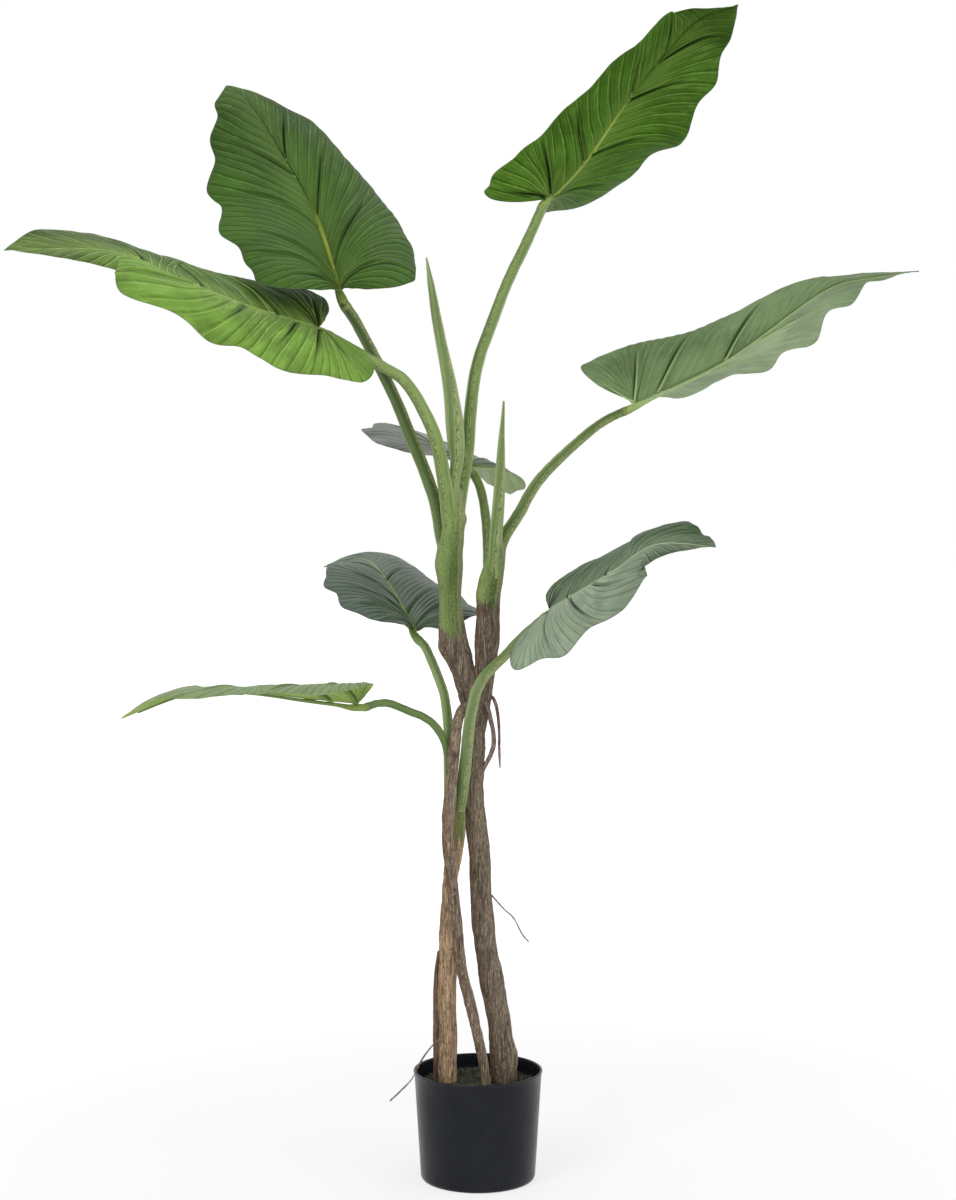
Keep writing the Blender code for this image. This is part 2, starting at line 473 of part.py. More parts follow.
def build():
    clear_scene()
    parts = bpy.data.collections.new("potted_philodendron")
    cutters = bpy.data.collections.new("cutters")
    for group in (parts, cutters):
        bpy.context.scene.collection.children.link(group)
    swollen = {}

    def add_cutter(name, verts, faces):
        swollen[name] = new_object("cut_" + name, verts, faces, cutters)

    def add_stem(name, steps, sides, material, cut_by):
        thing = stem_object(name, STEMS[name], steps, sides, parts)
        for other in cut_by:
            combine(thing, swollen[other], "DIFFERENCE")
        keep_largest(thing)
        give_material(thing, material)
        add_cutter(name, *grown_stem(name, steps, sides))
        return thing

    def grown_stem(name, steps, sides):
        path = even_curve(STEMS[name]["path"], steps)[0]
        radii = along(STEMS[name]["radii"], np.linspace(0, 1, steps))
        return sweep(path, radii, sides, FIT_GAP)

    for name in ("main_trunk", "tall_branch", "short_branch"):
        add_cutter(name, *grown_stem(name, 20, 16))
    main = stem_object("main_trunk", STEMS["main_trunk"], 20, 16, parts)
    for name in ("tall_branch", "short_branch"):
        branch = stem_object(name, STEMS[name], 20, 16, cutters)
        combine(main, branch, "UNION")
    keep_largest(main)
    give_material(main, "bark_main")
    trunk = ["main_trunk", "tall_branch", "short_branch"]

    add_stem("low_trunk", 16, 16, "bark_tan", [])
    add_stem("climbing_root", 26, 10, "root_bark", trunk + ["low_trunk"])
    add_stem("side_root", 8, 8, "root_bark", ["low_trunk"])
    add_stem("aerial_root_loop", 14, 8, "root_bark", trunk)
    add_stem("aerial_root_hanging", 12, 8, "root_bark", trunk + ["aerial_root_loop"])
    add_stem("thin_root_right", 8, 6, "root_bark", trunk)
    add_stem("thin_root_left", 10, 6, "root_bark", ["low_trunk", "side_root"])

    neighbours = {
        "top_left": trunk, "far_left": trunk + ["stalk_top_left"],
        "top_right": trunk + ["stalk_top_left", "stalk_far_left"], "right": trunk,
        "back": trunk + ["stalk_right"], "low_right": ["low_trunk", "climbing_root"],
        "mid_left": ["low_trunk", "climbing_root", "stalk_low_right"],
        "low_left": ["low_trunk", "climbing_root", "stalk_low_right", "stalk_mid_left"],
    }
    for name, leaf in LEAVES.items():
        stalk_line, rib_line = rib_and_stalk_paths(leaf)
        radii = along(leaf["radii"], np.linspace(0, 1, len(stalk_line)) ** 0.8)
        stalk = new_object("stalk_" + name, *sweep(stalk_line, radii, 10, dome=False), parts)
        for other in neighbours[name]:
            combine(stalk, swollen[other], "DIFFERENCE")
        keep_largest(stalk)
        give_material(stalk, "stalk_skin")
        add_cutter("stalk_" + name, *sweep(stalk_line, radii, 10, FIT_GAP, dome=False))
        share = np.linspace(0, 1, len(rib_line))
        rib_radii = RIB_START_RADIUS + (RIB_END_RADIUS - RIB_START_RADIUS) * share ** 0.7
        blade = blade_object("blade_" + name, leaf, BLADE_THICK, parts)
        give_material(blade, "leaf_sheet")
        swollen["blade_" + name] = blade_object("cut_blade_" + name, leaf, BLADE_THICK + 4 * FIT_GAP, cutters)
        rib = new_object("rib_" + name, *sweep(rib_line, rib_radii, 8), parts)
        for other in ("stalk_", "blade_"):
            combine(rib, swollen[other + name], "DIFFERENCE")
        keep_largest(rib)
        give_material(rib, "leaf_rib")

    add_stem("spear_tall", 18, 10, "spear_skin",
             trunk + ["stalk_top_left", "stalk_far_left", "stalk_top_right"])
    add_stem("spear_short", 12, 10, "spear_skin", trunk + ["stalk_right", "stalk_back"])

    soil = make_soil(parts)
    for other in ("main_trunk", "low_trunk", "climbing_root", "side_root"):
        combine(soil, swollen[other], "DIFFERENCE")
    keep_largest(soil)
    give_material(soil, "soil_mix")
    give_material(make_pot(parts), "pot_plastic")

    for thing in parts.objects:
        shade_round(thing)
    for tool in cutters.objects:
        tool.hide_render = True
        tool.display_type = "WIRE"


build()
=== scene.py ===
"""Potted philodendron: fine leaves, bark, roots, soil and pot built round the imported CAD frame."""
import math
import bmesh
import bpy
import numpy as np
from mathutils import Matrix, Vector, noise


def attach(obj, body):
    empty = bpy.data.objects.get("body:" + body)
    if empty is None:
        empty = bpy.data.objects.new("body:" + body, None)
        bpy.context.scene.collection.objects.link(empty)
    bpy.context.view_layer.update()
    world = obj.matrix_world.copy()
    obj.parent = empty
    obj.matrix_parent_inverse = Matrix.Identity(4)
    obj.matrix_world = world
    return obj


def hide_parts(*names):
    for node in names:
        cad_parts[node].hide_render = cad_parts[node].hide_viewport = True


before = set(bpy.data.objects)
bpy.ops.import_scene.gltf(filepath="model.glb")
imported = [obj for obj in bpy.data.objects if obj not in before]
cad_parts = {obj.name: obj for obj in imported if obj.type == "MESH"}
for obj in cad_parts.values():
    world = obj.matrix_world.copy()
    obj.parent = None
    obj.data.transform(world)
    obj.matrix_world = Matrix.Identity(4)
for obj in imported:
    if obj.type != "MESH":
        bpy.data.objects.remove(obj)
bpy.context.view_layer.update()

BLADE_THICK, RIB_START_RADIUS, RIB_END_RADIUS, RIB_DROP, FIT_GAP = 0.0012, 0.0032, 0.0008, 0.0006, 0.00035
POT_HEIGHT, POT_RIM_RADIUS, POT_FOOT_RADIUS, POT_WALL, SOIL_TOP = 0.150, 0.0875, 0.0775, 0.0024, 0.131

# One half of a leaf laid flat, from the notch round the lobe to the tip: across and along, per unit length.
HALF_OUTLINE = [(0.045, -0.035), (0.100, -0.085), (0.165, -0.100), (0.225, -0.045), (0.258, 0.060),
                (0.268, 0.180), (0.262, 0.320), (0.240, 0.460), (0.205, 0.600), (0.158, 0.740),
                (0.100, 0.860), (0.045, 0.945), (0.0, 1.0)]
LOBE_SHARE = 0.36
NOTCH_DEPTH = 0.016
VEIN_FAN = math.radians(-5)
HALF_WIDTH = 0.26
# Each leaf: the spine from its joint to its tip, the way its top side faces at the joint, middle and tip,
# how steeply each half leaves the spine and meets the margin (degrees, joint to tip), breadth, lobe length
# of each half, and its stalk from the trunk outwards with start and end radius.
LEAVES = {
    "top_left": dict(
        spine=[(-0.180, -0.038, 1.195), (-0.221, 0.090, 1.307), (-0.272, 0.173, 1.396),
               (-0.322, 0.240, 1.472), (-0.359, 0.292, 1.502)],
        face=[(-0.22, -0.68, 0.70), (0.03, -0.73, 0.68), (0.08, -0.45, 0.89)],
        left=([80, 11, -17], [-1, -8, -21]), right=([57, 24, -5], [-69, -68, -74]),
        broad=1.08, lobes=([(0, 0.9), (1, 0.9)], [(0, 1.1), (1, 1.1)]),
        stalk=[(-0.043, 0.000, 0.852), (-0.050, -0.003, 0.880), (-0.056, -0.006, 0.916),
               (-0.071, -0.010, 0.961), (-0.091, -0.010, 1.010), (-0.115, -0.013, 1.068),
               (-0.160, -0.022, 1.156)],
        radii=(0.0098, 0.0068)),
    "far_left": dict(
        spine=[(-0.203, -0.045, 1.148), (-0.291, -0.126, 1.175), (-0.372, -0.199, 1.208),
               (-0.457, -0.198, 1.242), (-0.578, -0.274, 1.240)],
        face=[(0.35, -0.07, 0.93), (0.34, 0.09, 0.94), (0.24, -0.35, 0.91)],
        left=([-4, -5, 12], [-47, -81, -20]), right=([38, 18, 7], [-11, -9, -15]),
        broad=0.94, lobes=([(0, 1.05), (1, 1.05)], [(0, 0.7), (1, 0.7)]),
        stalk=[(-0.036, -0.004, 0.870), (-0.040, -0.014, 0.909), (-0.044, -0.020, 0.943),
               (-0.058, -0.024, 1.010), (-0.090, -0.030, 1.072), (-0.116, -0.033, 1.093),
               (-0.155, -0.033, 1.116)],
        radii=(0.0120, 0.0060)),
    "top_right": dict(
        spine=[(0.097, 0.152, 1.325), (0.147, 0.158, 1.379), (0.215, 0.163, 1.477), (0.298, 0.183, 1.573),
               (0.350, 0.086, 1.585)],
        face=[(0.30, -0.90, -0.32), (0.31, -0.94, -0.11), (-0.74, -0.43, -0.51)],
        left=([14, 54, 65], [-8, 25, 22]), right=([-69, 18, -13], [-67, -43, -19]),
        broad=0.91, lobes=([(0, 0.2), (0.04, 0.4), (0.09, 1.3), (0.17, 1.25), (1, 1)],
                           [(0, -0.25), (1, -0.25)]),
        stalk=[(-0.031, 0.004, 0.862), (-0.030, 0.008, 0.882), (-0.023, 0.009, 0.934),
               (-0.014, 0.013, 0.989), (-0.009, 0.032, 1.051), (0.000, 0.056, 1.106),
               (0.019, 0.084, 1.160), (0.041, 0.110, 1.217), (0.069, 0.135, 1.275)],
        radii=(0.0115, 0.0065)),
    "right": dict(
        spine=[(0.207, 0.080, 1.049), (0.331, 0.047, 1.109), (0.454, -0.004, 1.199),
               (0.509, -0.037, 1.216), (0.574, -0.059, 1.224)],
        face=[(-0.29, 0.45, 0.84), (-0.28, 0.46, 0.84), (-0.09, 0.13, 0.99)],
        left=([40, 17, 8], [10, -14, -28]), right=([69, 17, -11], [-24, -32, -14]),
        broad=1.03, lobes=([(0, -0.5), (1, -0.5)], [(0, 0.8), (1, 0.8)]),
        stalk=[(0.023, 0.000, 0.815), (0.026, 0.004, 0.842), (0.035, 0.010, 0.872), (0.054, 0.020, 0.901),
               (0.077, 0.030, 0.941), (0.112, 0.048, 0.978), (0.166, 0.068, 1.023)],
        radii=(0.0098, 0.0053)),
    "back": dict(
        spine=[(-0.011, 0.080, 0.965), (-0.049, 0.176, 0.983), (-0.072, 0.278, 0.996),
               (-0.080, 0.382, 1.001), (-0.073, 0.487, 0.999)],
        face=[(0.00, -0.20, 0.98), (0.10, -0.10, 0.99), (0.20, 0.00, 0.98)],
        left=([40, 25, 15], [-10, -20, -30]), right=([15, 5, -5], [-80, -75, -70]),
        broad=0.97, lobes=([(0, 1.0), (1, 1.0)], [(0, 1.0), (1, 1.0)]),
        stalk=[(0.015, 0.004, 0.812), (0.014, 0.010, 0.828), (0.013, 0.024, 0.860), (0.010, 0.044, 0.900),
               (0.002, 0.062, 0.938)],
        radii=(0.0080, 0.0058)),
    "low_right": dict(
        spine=[(0.092, -0.030, 0.776), (0.169, -0.206, 0.841), (0.221, -0.240, 0.877),
               (0.288, -0.326, 0.880)],
        face=[(-0.58, 0.05, 0.81), (-0.59, -0.34, 0.74), (-0.07, -0.03, 1.00)],
        left=([41, 11, 15], [-21, -30, -37]), right=([-7, 14, 3], [-29, -65, -69]),
        broad=1.00, lobes=([(0, 1.0), (1, 1.0)], [(0, 1.0), (1, 1.0)]),
        stalk=[(-0.026, -0.021, 0.508), (-0.022, -0.026, 0.531), (-0.017, -0.034, 0.570),
               (-0.011, -0.038, 0.629), (-0.005, -0.038, 0.658), (0.001, -0.036, 0.678),
               (0.013, -0.030, 0.694), (0.037, -0.014, 0.716), (0.061, -0.012, 0.742)],
        radii=(0.0100, 0.0055)),
    "mid_left": dict(
        spine=[(-0.085, 0.055, 0.741), (-0.136, 0.250, 0.803), (-0.173, 0.390, 0.819),
               (-0.230, 0.400, 0.807)],
        face=[(0.07, -0.28, 0.96), (-0.04, -0.05, 1.00), (-0.27, -0.44, 0.85)],
        left=([57, 34, 5], [-31, -15, -70]), right=([51, 4, -18], [-27, -40, -81]),
        broad=0.93, lobes=([(0, 1.0), (1, 1.0)], [(0, 1.0), (1, 1.0)]),
        stalk=[(-0.033, -0.016, 0.470), (-0.038, -0.014, 0.518), (-0.039, -0.010, 0.560),
               (-0.040, -0.004, 0.612), (-0.044, 0.002, 0.652), (-0.052, 0.012, 0.679),
               (-0.072, 0.038, 0.722)],
        radii=(0.0085, 0.0055)),
    "low_left": dict(
        spine=[(-0.153, -0.088, 0.660), (-0.229, -0.091, 0.668), (-0.297, -0.099, 0.677),
               (-0.372, -0.126, 0.679), (-0.467, -0.093, 0.641)],
        face=[(0.10, 0.13, 0.99), (0.03, 0.18, 0.98), (-0.32, 0.02, 0.95)],
        left=([51, 15, 12], [-22, -30, -26]), right=([46, 1, 27], [-13, 0, 5]),
        broad=1.06, lobes=([(0, 0.4), (1, 0.4)], [(0, 0.3), (1, 0.3)]),
        stalk=[(-0.036, -0.024, 0.480), (-0.038, -0.028, 0.520), (-0.039, -0.030, 0.565),
               (-0.045, -0.033, 0.603), (-0.064, -0.044, 0.631), (-0.090, -0.056, 0.645),
               (-0.123, -0.074, 0.659)],
        radii=(0.0062, 0.0048)),
}

# Trunks, spears and roots: centre line and radii along it.
STEMS = {
    "main_trunk": dict(
        path=[(0.038, 0.000, 0.085), (0.033, 0.000, 0.176), (0.022, 0.000, 0.248), (0.008, 0.000, 0.341),
              (0.003, 0.000, 0.433), (-0.005, 0.000, 0.524), (-0.004, 0.000, 0.600),
              (-0.005, 0.000, 0.667)],
        radii=[0.0158, 0.0150, 0.0145, 0.0135, 0.0132, 0.0125]),
    "tall_branch": dict(
        path=[(-0.006, 0.000, 0.630), (-0.017, 0.000, 0.681), (-0.033, 0.000, 0.736),
              (-0.037, 0.000, 0.803), (-0.036, 0.000, 0.861), (-0.034, -0.002, 0.892),
              (-0.031, -0.004, 0.930)],
        radii=[0.0110, 0.0150, 0.0163, 0.0162, 0.0158, 0.0158, 0.0152, 0.0100]),
    "short_branch": dict(
        path=[(-0.003, 0.000, 0.600), (0.007, 0.000, 0.654), (0.011, 0.000, 0.708), (0.013, 0.000, 0.759),
              (0.017, 0.000, 0.810), (0.021, 0.000, 0.834), (0.025, -0.001, 0.856)],
        radii=[0.0100, 0.0113, 0.0135, 0.0147, 0.0148, 0.0154, 0.0120]),
    "low_trunk": dict(
        path=[(-0.041, 0.000, 0.090), (-0.041, -0.004, 0.181), (-0.0415, -0.010, 0.277),
              (-0.038, -0.016, 0.398), (-0.031, -0.020, 0.454), (-0.026, -0.021, 0.500)],
        radii=[0.0127, 0.0129, 0.0128, 0.0118, 0.0112, 0.0106]),
    "climbing_root": dict(
        path=[(0.014, -0.014, 0.100), (0.007, -0.020, 0.168), (-0.008, -0.027, 0.236),
              (-0.022, -0.034, 0.296), (-0.030, -0.037, 0.372), (-0.038, -0.040, 0.447),
              (-0.040, -0.045, 0.491), (-0.034, -0.043, 0.570), (-0.028, -0.036, 0.624),
              (-0.022, -0.024, 0.642), (-0.015, -0.010, 0.648)],
        radii=[0.0070, 0.0072, 0.0074, 0.0080, 0.0084, 0.0078, 0.0064]),
    "side_root": dict(
        path=[(-0.0574, 0.000, 0.105), (-0.0570, -0.004, 0.180), (-0.0570, -0.010, 0.270),
              (-0.0532, -0.014, 0.314)],
        radii=[0.0034, 0.0036, 0.0040, 0.0020]),
    "aerial_root_loop": dict(
        path=[(0.000, -0.008, 0.662), (0.012, -0.012, 0.648), (0.017, -0.012, 0.627),
              (0.021, -0.011, 0.607), (0.019, -0.010, 0.587), (0.005, -0.008, 0.556)],
        radii=[0.0036, 0.0036, 0.0030]),
    "aerial_root_hanging": dict(
        path=[(0.008, -0.004, 0.658), (0.020, -0.006, 0.657), (0.0265, -0.007, 0.636),
              (0.0285, -0.008, 0.607), (0.0285, -0.008, 0.591), (0.0295, -0.008, 0.563)],
        radii=[0.0024, 0.0022, 0.0008]),
    "thin_root_right": dict(
        path=[(0.012, 0.000, 0.396), (0.034, -0.006, 0.372), (0.048, -0.008, 0.359), (0.059, -0.008, 0.338),
              (0.068, -0.008, 0.327)],
        radii=[0.0012, 0.0010]),
    "thin_root_left": dict(
        path=[(-0.048, -0.010, 0.198), (-0.062, -0.026, 0.188), (-0.076, -0.040, 0.172),
              (-0.088, -0.062, 0.153), (-0.105, -0.080, 0.139), (-0.116, -0.090, 0.131)],
        radii=[0.0012, 0.0010]),
    "spear_tall": dict(
        path=[(-0.032, -0.008, 0.872), (-0.033, -0.010, 0.935), (-0.028, -0.010, 0.974),
              (-0.029, -0.010, 0.998), (-0.032, -0.010, 1.035), (-0.039, -0.010, 1.083),
              (-0.053, -0.010, 1.152), (-0.060, -0.010, 1.194), (-0.068, -0.010, 1.242)],
        radii=[0.0080, 0.0095, 0.0110, 0.0120, 0.0118, 0.0088, 0.0060, 0.0044, 0.0012]),
    "spear_short": dict(
        path=[(0.022, -0.006, 0.820), (0.024, -0.008, 0.875), (0.028, -0.008, 0.929),
              (0.031, -0.008, 0.998), (0.034, -0.008, 1.053)],
        radii=[0.0095, 0.0090, 0.0075, 0.0048, 0.0015]),
}

# ---- curves ----
def unit(vectors):
    vectors = np.asarray(vectors, float)
    return vectors / np.linalg.norm(vectors, axis=-1, keepdims=True)


def even_curve(points, count):
    """Smooth curve through the points, as count evenly spaced positions."""
    p = np.array(points, float)
    p = np.vstack([2 * p[0] - p[1], p, 2 * p[-1] - p[-2]])
    t = np.linspace(0, len(p) - 3, 400)
    k = np.minimum(t.astype(int), len(p) - 4)
    f = (t - k)[:, None]
    a, b, c, d = p[k], p[k + 1], p[k + 2], p[k + 3]
    fine = 0.5 * (2 * b + (c - a) * f + (2 * a - 5 * b + 4 * c - d) * f ** 2
                  + (3 * b - a - 3 * c + d) * f ** 3)
    run = np.concatenate([[0], np.cumsum(np.linalg.norm(np.diff(fine, axis=0), axis=1))])
    at = np.linspace(0, run[-1], count)
    return np.stack([np.interp(at, run, fine[:, i]) for i in range(fine.shape[1])], 1), run[-1]


def along(values, share):
    """Value at a share (0 to 1) of an evenly spaced list, for numbers or vectors."""
    values = np.asarray(values, float)
    x = np.clip(share, 0, 1) * (len(values) - 1)
    i = np.minimum(x.astype(int), len(values) - 2)
    f = x - i
    if values.ndim == 2:
        f = f[..., None]
    return values[i] * (1 - f) + values[i + 1] * f


# ---- leaf surface ----
OUTLINE_FINE = even_curve([(x, y, 0) for x, y in HALF_OUTLINE], 400)[0]


def flat_leaf(vein, reach, start):
    """Flat place (across, along) on a half leaf: vein runs from notch to tip, reach from spine to margin.
    Higher start powers (near the joint, near the tip) make the veins leave the spine lower down."""
    edge = along(OUTLINE_FINE[:, :2], vein)
    late = np.clip((vein - LOBE_SHARE) / (1 - LOBE_SHARE), 0, 1)
    power = start[0] + (start[1] - start[0]) * late ** 4
    root = np.stack([np.zeros_like(vein), NOTCH_DEPTH + (1 - NOTCH_DEPTH) * late ** power], -1)
    gap = edge - root
    turned = np.stack([gap[..., 0] * math.cos(VEIN_FAN) + gap[..., 1] * math.sin(VEIN_FAN),
                       gap[..., 1] * math.cos(VEIN_FAN) - gap[..., 0] * math.sin(VEIN_FAN)], -1)
    r = reach[..., None]
    flat = (1 - r) ** 2 * root + 2 * (1 - r) * r * (root + 0.5 * turned) + r ** 2 * edge
    return flat[..., 0], flat[..., 1]


def spine_frame(leaf, share):
    """Place, forward, up and sideways at a share of the spine; shares below 0 run on behind the joint."""
    spine, length = even_curve(leaf["spine"], 101)
    forward = unit(along(unit(np.gradient(spine, axis=0)), share))
    face = along(leaf["face"], share)
    up = unit(face - (face * forward).sum(-1, keepdims=True) * forward)
    place = along(spine, share) + forward * (np.minimum(share, 0) * length)[..., None]
    return place, forward, up, np.cross(forward, up), length


def smooth(at, marks):
    """Values at each place on rounded curves through (place, value, ...) marks."""
    places, *values = np.array(marks, float).T
    k = np.clip(np.searchsorted(places, at, side="right") - 1, 0, len(places) - 2)
    f = np.clip((at - places[k]) / (places[k + 1] - places[k]), 0, 1)
    return [v[k] + (v[k + 1] - v[k]) * f * f * (3 - 2 * f) for v in values]


def leaf_points(leaf, side, vein, reach):
    """Places on the left (-1) or right (1) half of a leaf in space."""
    half = max(side, 0)
    across, share = flat_leaf(vein, reach, leaf["start"][half])
    share = np.where(share < 0, share * smooth(vein, leaf["lobes"][half])[0], share)
    place, _, up, sideways, length = spine_frame(leaf, share)
    widen, ripple = smooth(vein, [(0, 0, 0)] + leaf["margin"][half] + [(1, 0, 0)])
    width = across * length * leaf["broad"] * (1 + widen * reach ** 3)
    rise, edge = leaf["right"] if half else leaf["left"]
    start, end = np.radians(along(rise, share)), np.radians(along(edge, share))
    bend = (end - start) / (HALF_WIDTH * length)
    bend = np.where(np.abs(bend) < 1e-4, 1e-4, bend)
    slope = start + bend * width
    out = (np.sin(slope) - np.sin(start)) / bend
    lift = (np.cos(start) - np.cos(slope)) / bend
    normal = up * np.cos(slope)[..., None] - sideways * (side * np.sin(slope))[..., None]
    ripple = ripple * 0.001 * reach ** 1.6
    return place + sideways * (side * out)[..., None] + up * lift[..., None] + normal * ripple[..., None]


def rib_and_stalk_paths(leaf):
    """One line from the trunk up the stalk and on under the spine, parted at the leaf's joint."""
    share = np.linspace(0.0, 0.93, 12)
    place, _, up, sideways, _ = spine_frame(leaf, share)
    left, right = (np.radians(along(leaf[half][0], share)) for half in ("left", "right"))
    lean, steep = (right - left) / 2, np.minimum((right + left) / 2, math.radians(65))
    below = sideways * np.sin(lean)[:, None] - up * np.cos(lean)[:, None]
    radii = RIB_START_RADIUS + (RIB_END_RADIUS - RIB_START_RADIUS) * share ** 0.7
    under = place + below * ((radii + BLADE_THICK / 2 + RIB_DROP) / np.cos(steep))[:, None]
    line = even_curve(list(leaf["stalk"]) + [tuple(p) for p in under], 600)[0]
    joint = int(np.argmin(np.linalg.norm(line - under[0], axis=1))) - 6
    start = line[joint] + unit(line[joint + 1] - line[joint]) * FIT_GAP
    stalk_line = even_curve(np.vstack([line[:joint:6], line[joint]]), 16)[0]
    rib_line = even_curve(np.vstack([start, line[joint + 6::6]]), 18)[0]
    return stalk_line, rib_line


# ---- mesh helpers ----
def grid_faces(rows, columns, start=0, wrap=False, flip=False):
    """Quads joining a grid of corners; wrap joins the ends of each row."""
    i, k = np.meshgrid(np.arange(rows - 1), np.arange(columns if wrap else columns - 1), indexing="ij")
    n = (k + 1) % columns
    quads = np.stack([i * columns + k, i * columns + n, (i + 1) * columns + n, (i + 1) * columns + k], -1)
    quads = quads.reshape(-1, 4) + start
    return quads[:, ::-1] if flip else quads


class Shape:
    """Corners, faces, per-corner values and per-face slots, gathered sheet by sheet."""
    def __init__(self, *keys):
        self.verts, self.faces, self.slots, self.maps = [], [], [], []
        self.values = {key: [] for key in keys}
        self.count = 0

    def add(self, verts, faces, slot=0, maps=None, **values):
        self.verts.append(np.asarray(verts, float).reshape(-1, 3))
        added = len(self.verts[-1])
        for key, stored in self.values.items():
            stored.append(np.broadcast_to(np.asarray(values.get(key, 0.0), float).reshape(-1), (added,)))
        self.count += added
        self.join(faces, slot, maps)

    def join(self, faces, slot=0, maps=None):
        self.faces.extend(tuple(face) for face in np.asarray(faces).tolist())
        self.slots.extend([slot] * len(faces))
        if maps is not None:
            self.maps.append(np.asarray(maps, np.float32).reshape(-1, 2))

    def piece(self, name, materials, finish, *stands_for):
        mesh = bpy.data.meshes.new(name)
        mesh.from_pydata(np.concatenate(self.verts).tolist(), [], self.faces)
        for key, stored in self.values.items():
            layer = mesh.attributes.new(key, "FLOAT", "POINT")
            layer.data.foreach_set("value", np.concatenate(stored).astype(np.float32))
        if self.maps:
            mesh.uv_layers.new(name="OFBake").data.foreach_set("uv", np.concatenate(self.maps).ravel())
        for material in materials:
            mesh.materials.append(material)
        mesh.polygons.foreach_set("material_index", np.array(self.slots, np.int32))
        mesh.polygons.foreach_set("use_smooth", np.ones(len(mesh.polygons), bool))
        mesh.update()
        piece = bpy.data.objects.new(name, mesh)
        bpy.context.scene.collection.objects.link(piece)
        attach(piece, "root")
        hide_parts(*stands_for)
        return piece


def field(points, scale, seed=0.0):
    """Smooth noise from -1 to 1 at each point, with a scale for each axis."""
    spots = np.asarray(points).reshape(-1, 3) * np.asarray(scale, float) + seed
    return np.array([noise.noise(Vector(spot)) for spot in spots]).reshape(np.shape(points)[:-1])


def ridges(points, scale, seed=0.0):
    """Sharp-crested noise from 0 in the valleys to 1 on the crests."""
    return 1 - np.clip(np.abs(field(points, scale, seed)) * 2.6, 0, 1)


def tube(path, radii, sides, shape=None):
    """Round-ended tube: its corners as rings, with turn (radians), run (metres) and way out at each."""
    path, radii = np.array(path, float), np.array(radii, float)
    tangent = unit(np.gradient(path, axis=0))
    first, last = path[0].copy(), path[-1].copy()
    low, high = radii[0], radii[-1]
    for reach, share in ((0.35, 0.93), (0.65, 0.75), (0.86, 0.48), (0.97, 0.2)):
        path = np.vstack([first - tangent[0] * low * reach * 0.6, path, last + tangent[-1] * high * reach])
        radii = np.concatenate([[low * share], radii, [high * share]])
        tangent = np.vstack([tangent[:1], tangent, tangent[-1:]])
    run = np.concatenate([[0], np.cumsum(np.linalg.norm(np.diff(path, axis=0), axis=1))])
    turn = np.arange(sides) / sides * 2 * math.pi
    side = unit(np.cross(tangent[0], (0.31, -1.0, 0.23)))
    out = []
    for ahead in tangent:
        side = unit(side - side.dot(ahead) * ahead)
        up = np.cross(ahead, side)
        out.append(side * np.cos(turn)[:, None] + up * np.sin(turn)[:, None])
    out = np.array(out)
    turn, run = np.meshgrid(turn, run)
    scale = radii[:, None] * (shape(out, run) if shape else 1.0)
    return path[:, None] + out * scale[..., None], turn, run, out


def heading(out, towards, signed=False):
    """Angle round a stem between each outward direction and a heading; heading 0 is -Y, positive is to +X."""
    turn = (np.arctan2(out[..., 0], -out[..., 1]) - towards + math.pi) % (2 * math.pi) - math.pi
    return turn if signed else np.abs(turn)


def add_tube(shape, rings, **values):
    """Add the quads round a tube and its two flat end faces."""
    start, (rows, sides) = shape.count, rings.shape[:2]
    shape.add(rings, grid_faces(rows, sides, start, wrap=True), **values)
    shape.join([tuple(range(start, start + sides))[::-1]])
    shape.join([tuple(range(start + (rows - 1) * sides, start + rows * sides))])


# ---- node helpers ----
def linear(colour):
    """A screen colour (0 to 255 a channel) as linear light."""
    return tuple(((c / 255 + 0.055) / 1.055) ** 2.4 if c > 10 else c / 255 / 12.92 for c in colour)


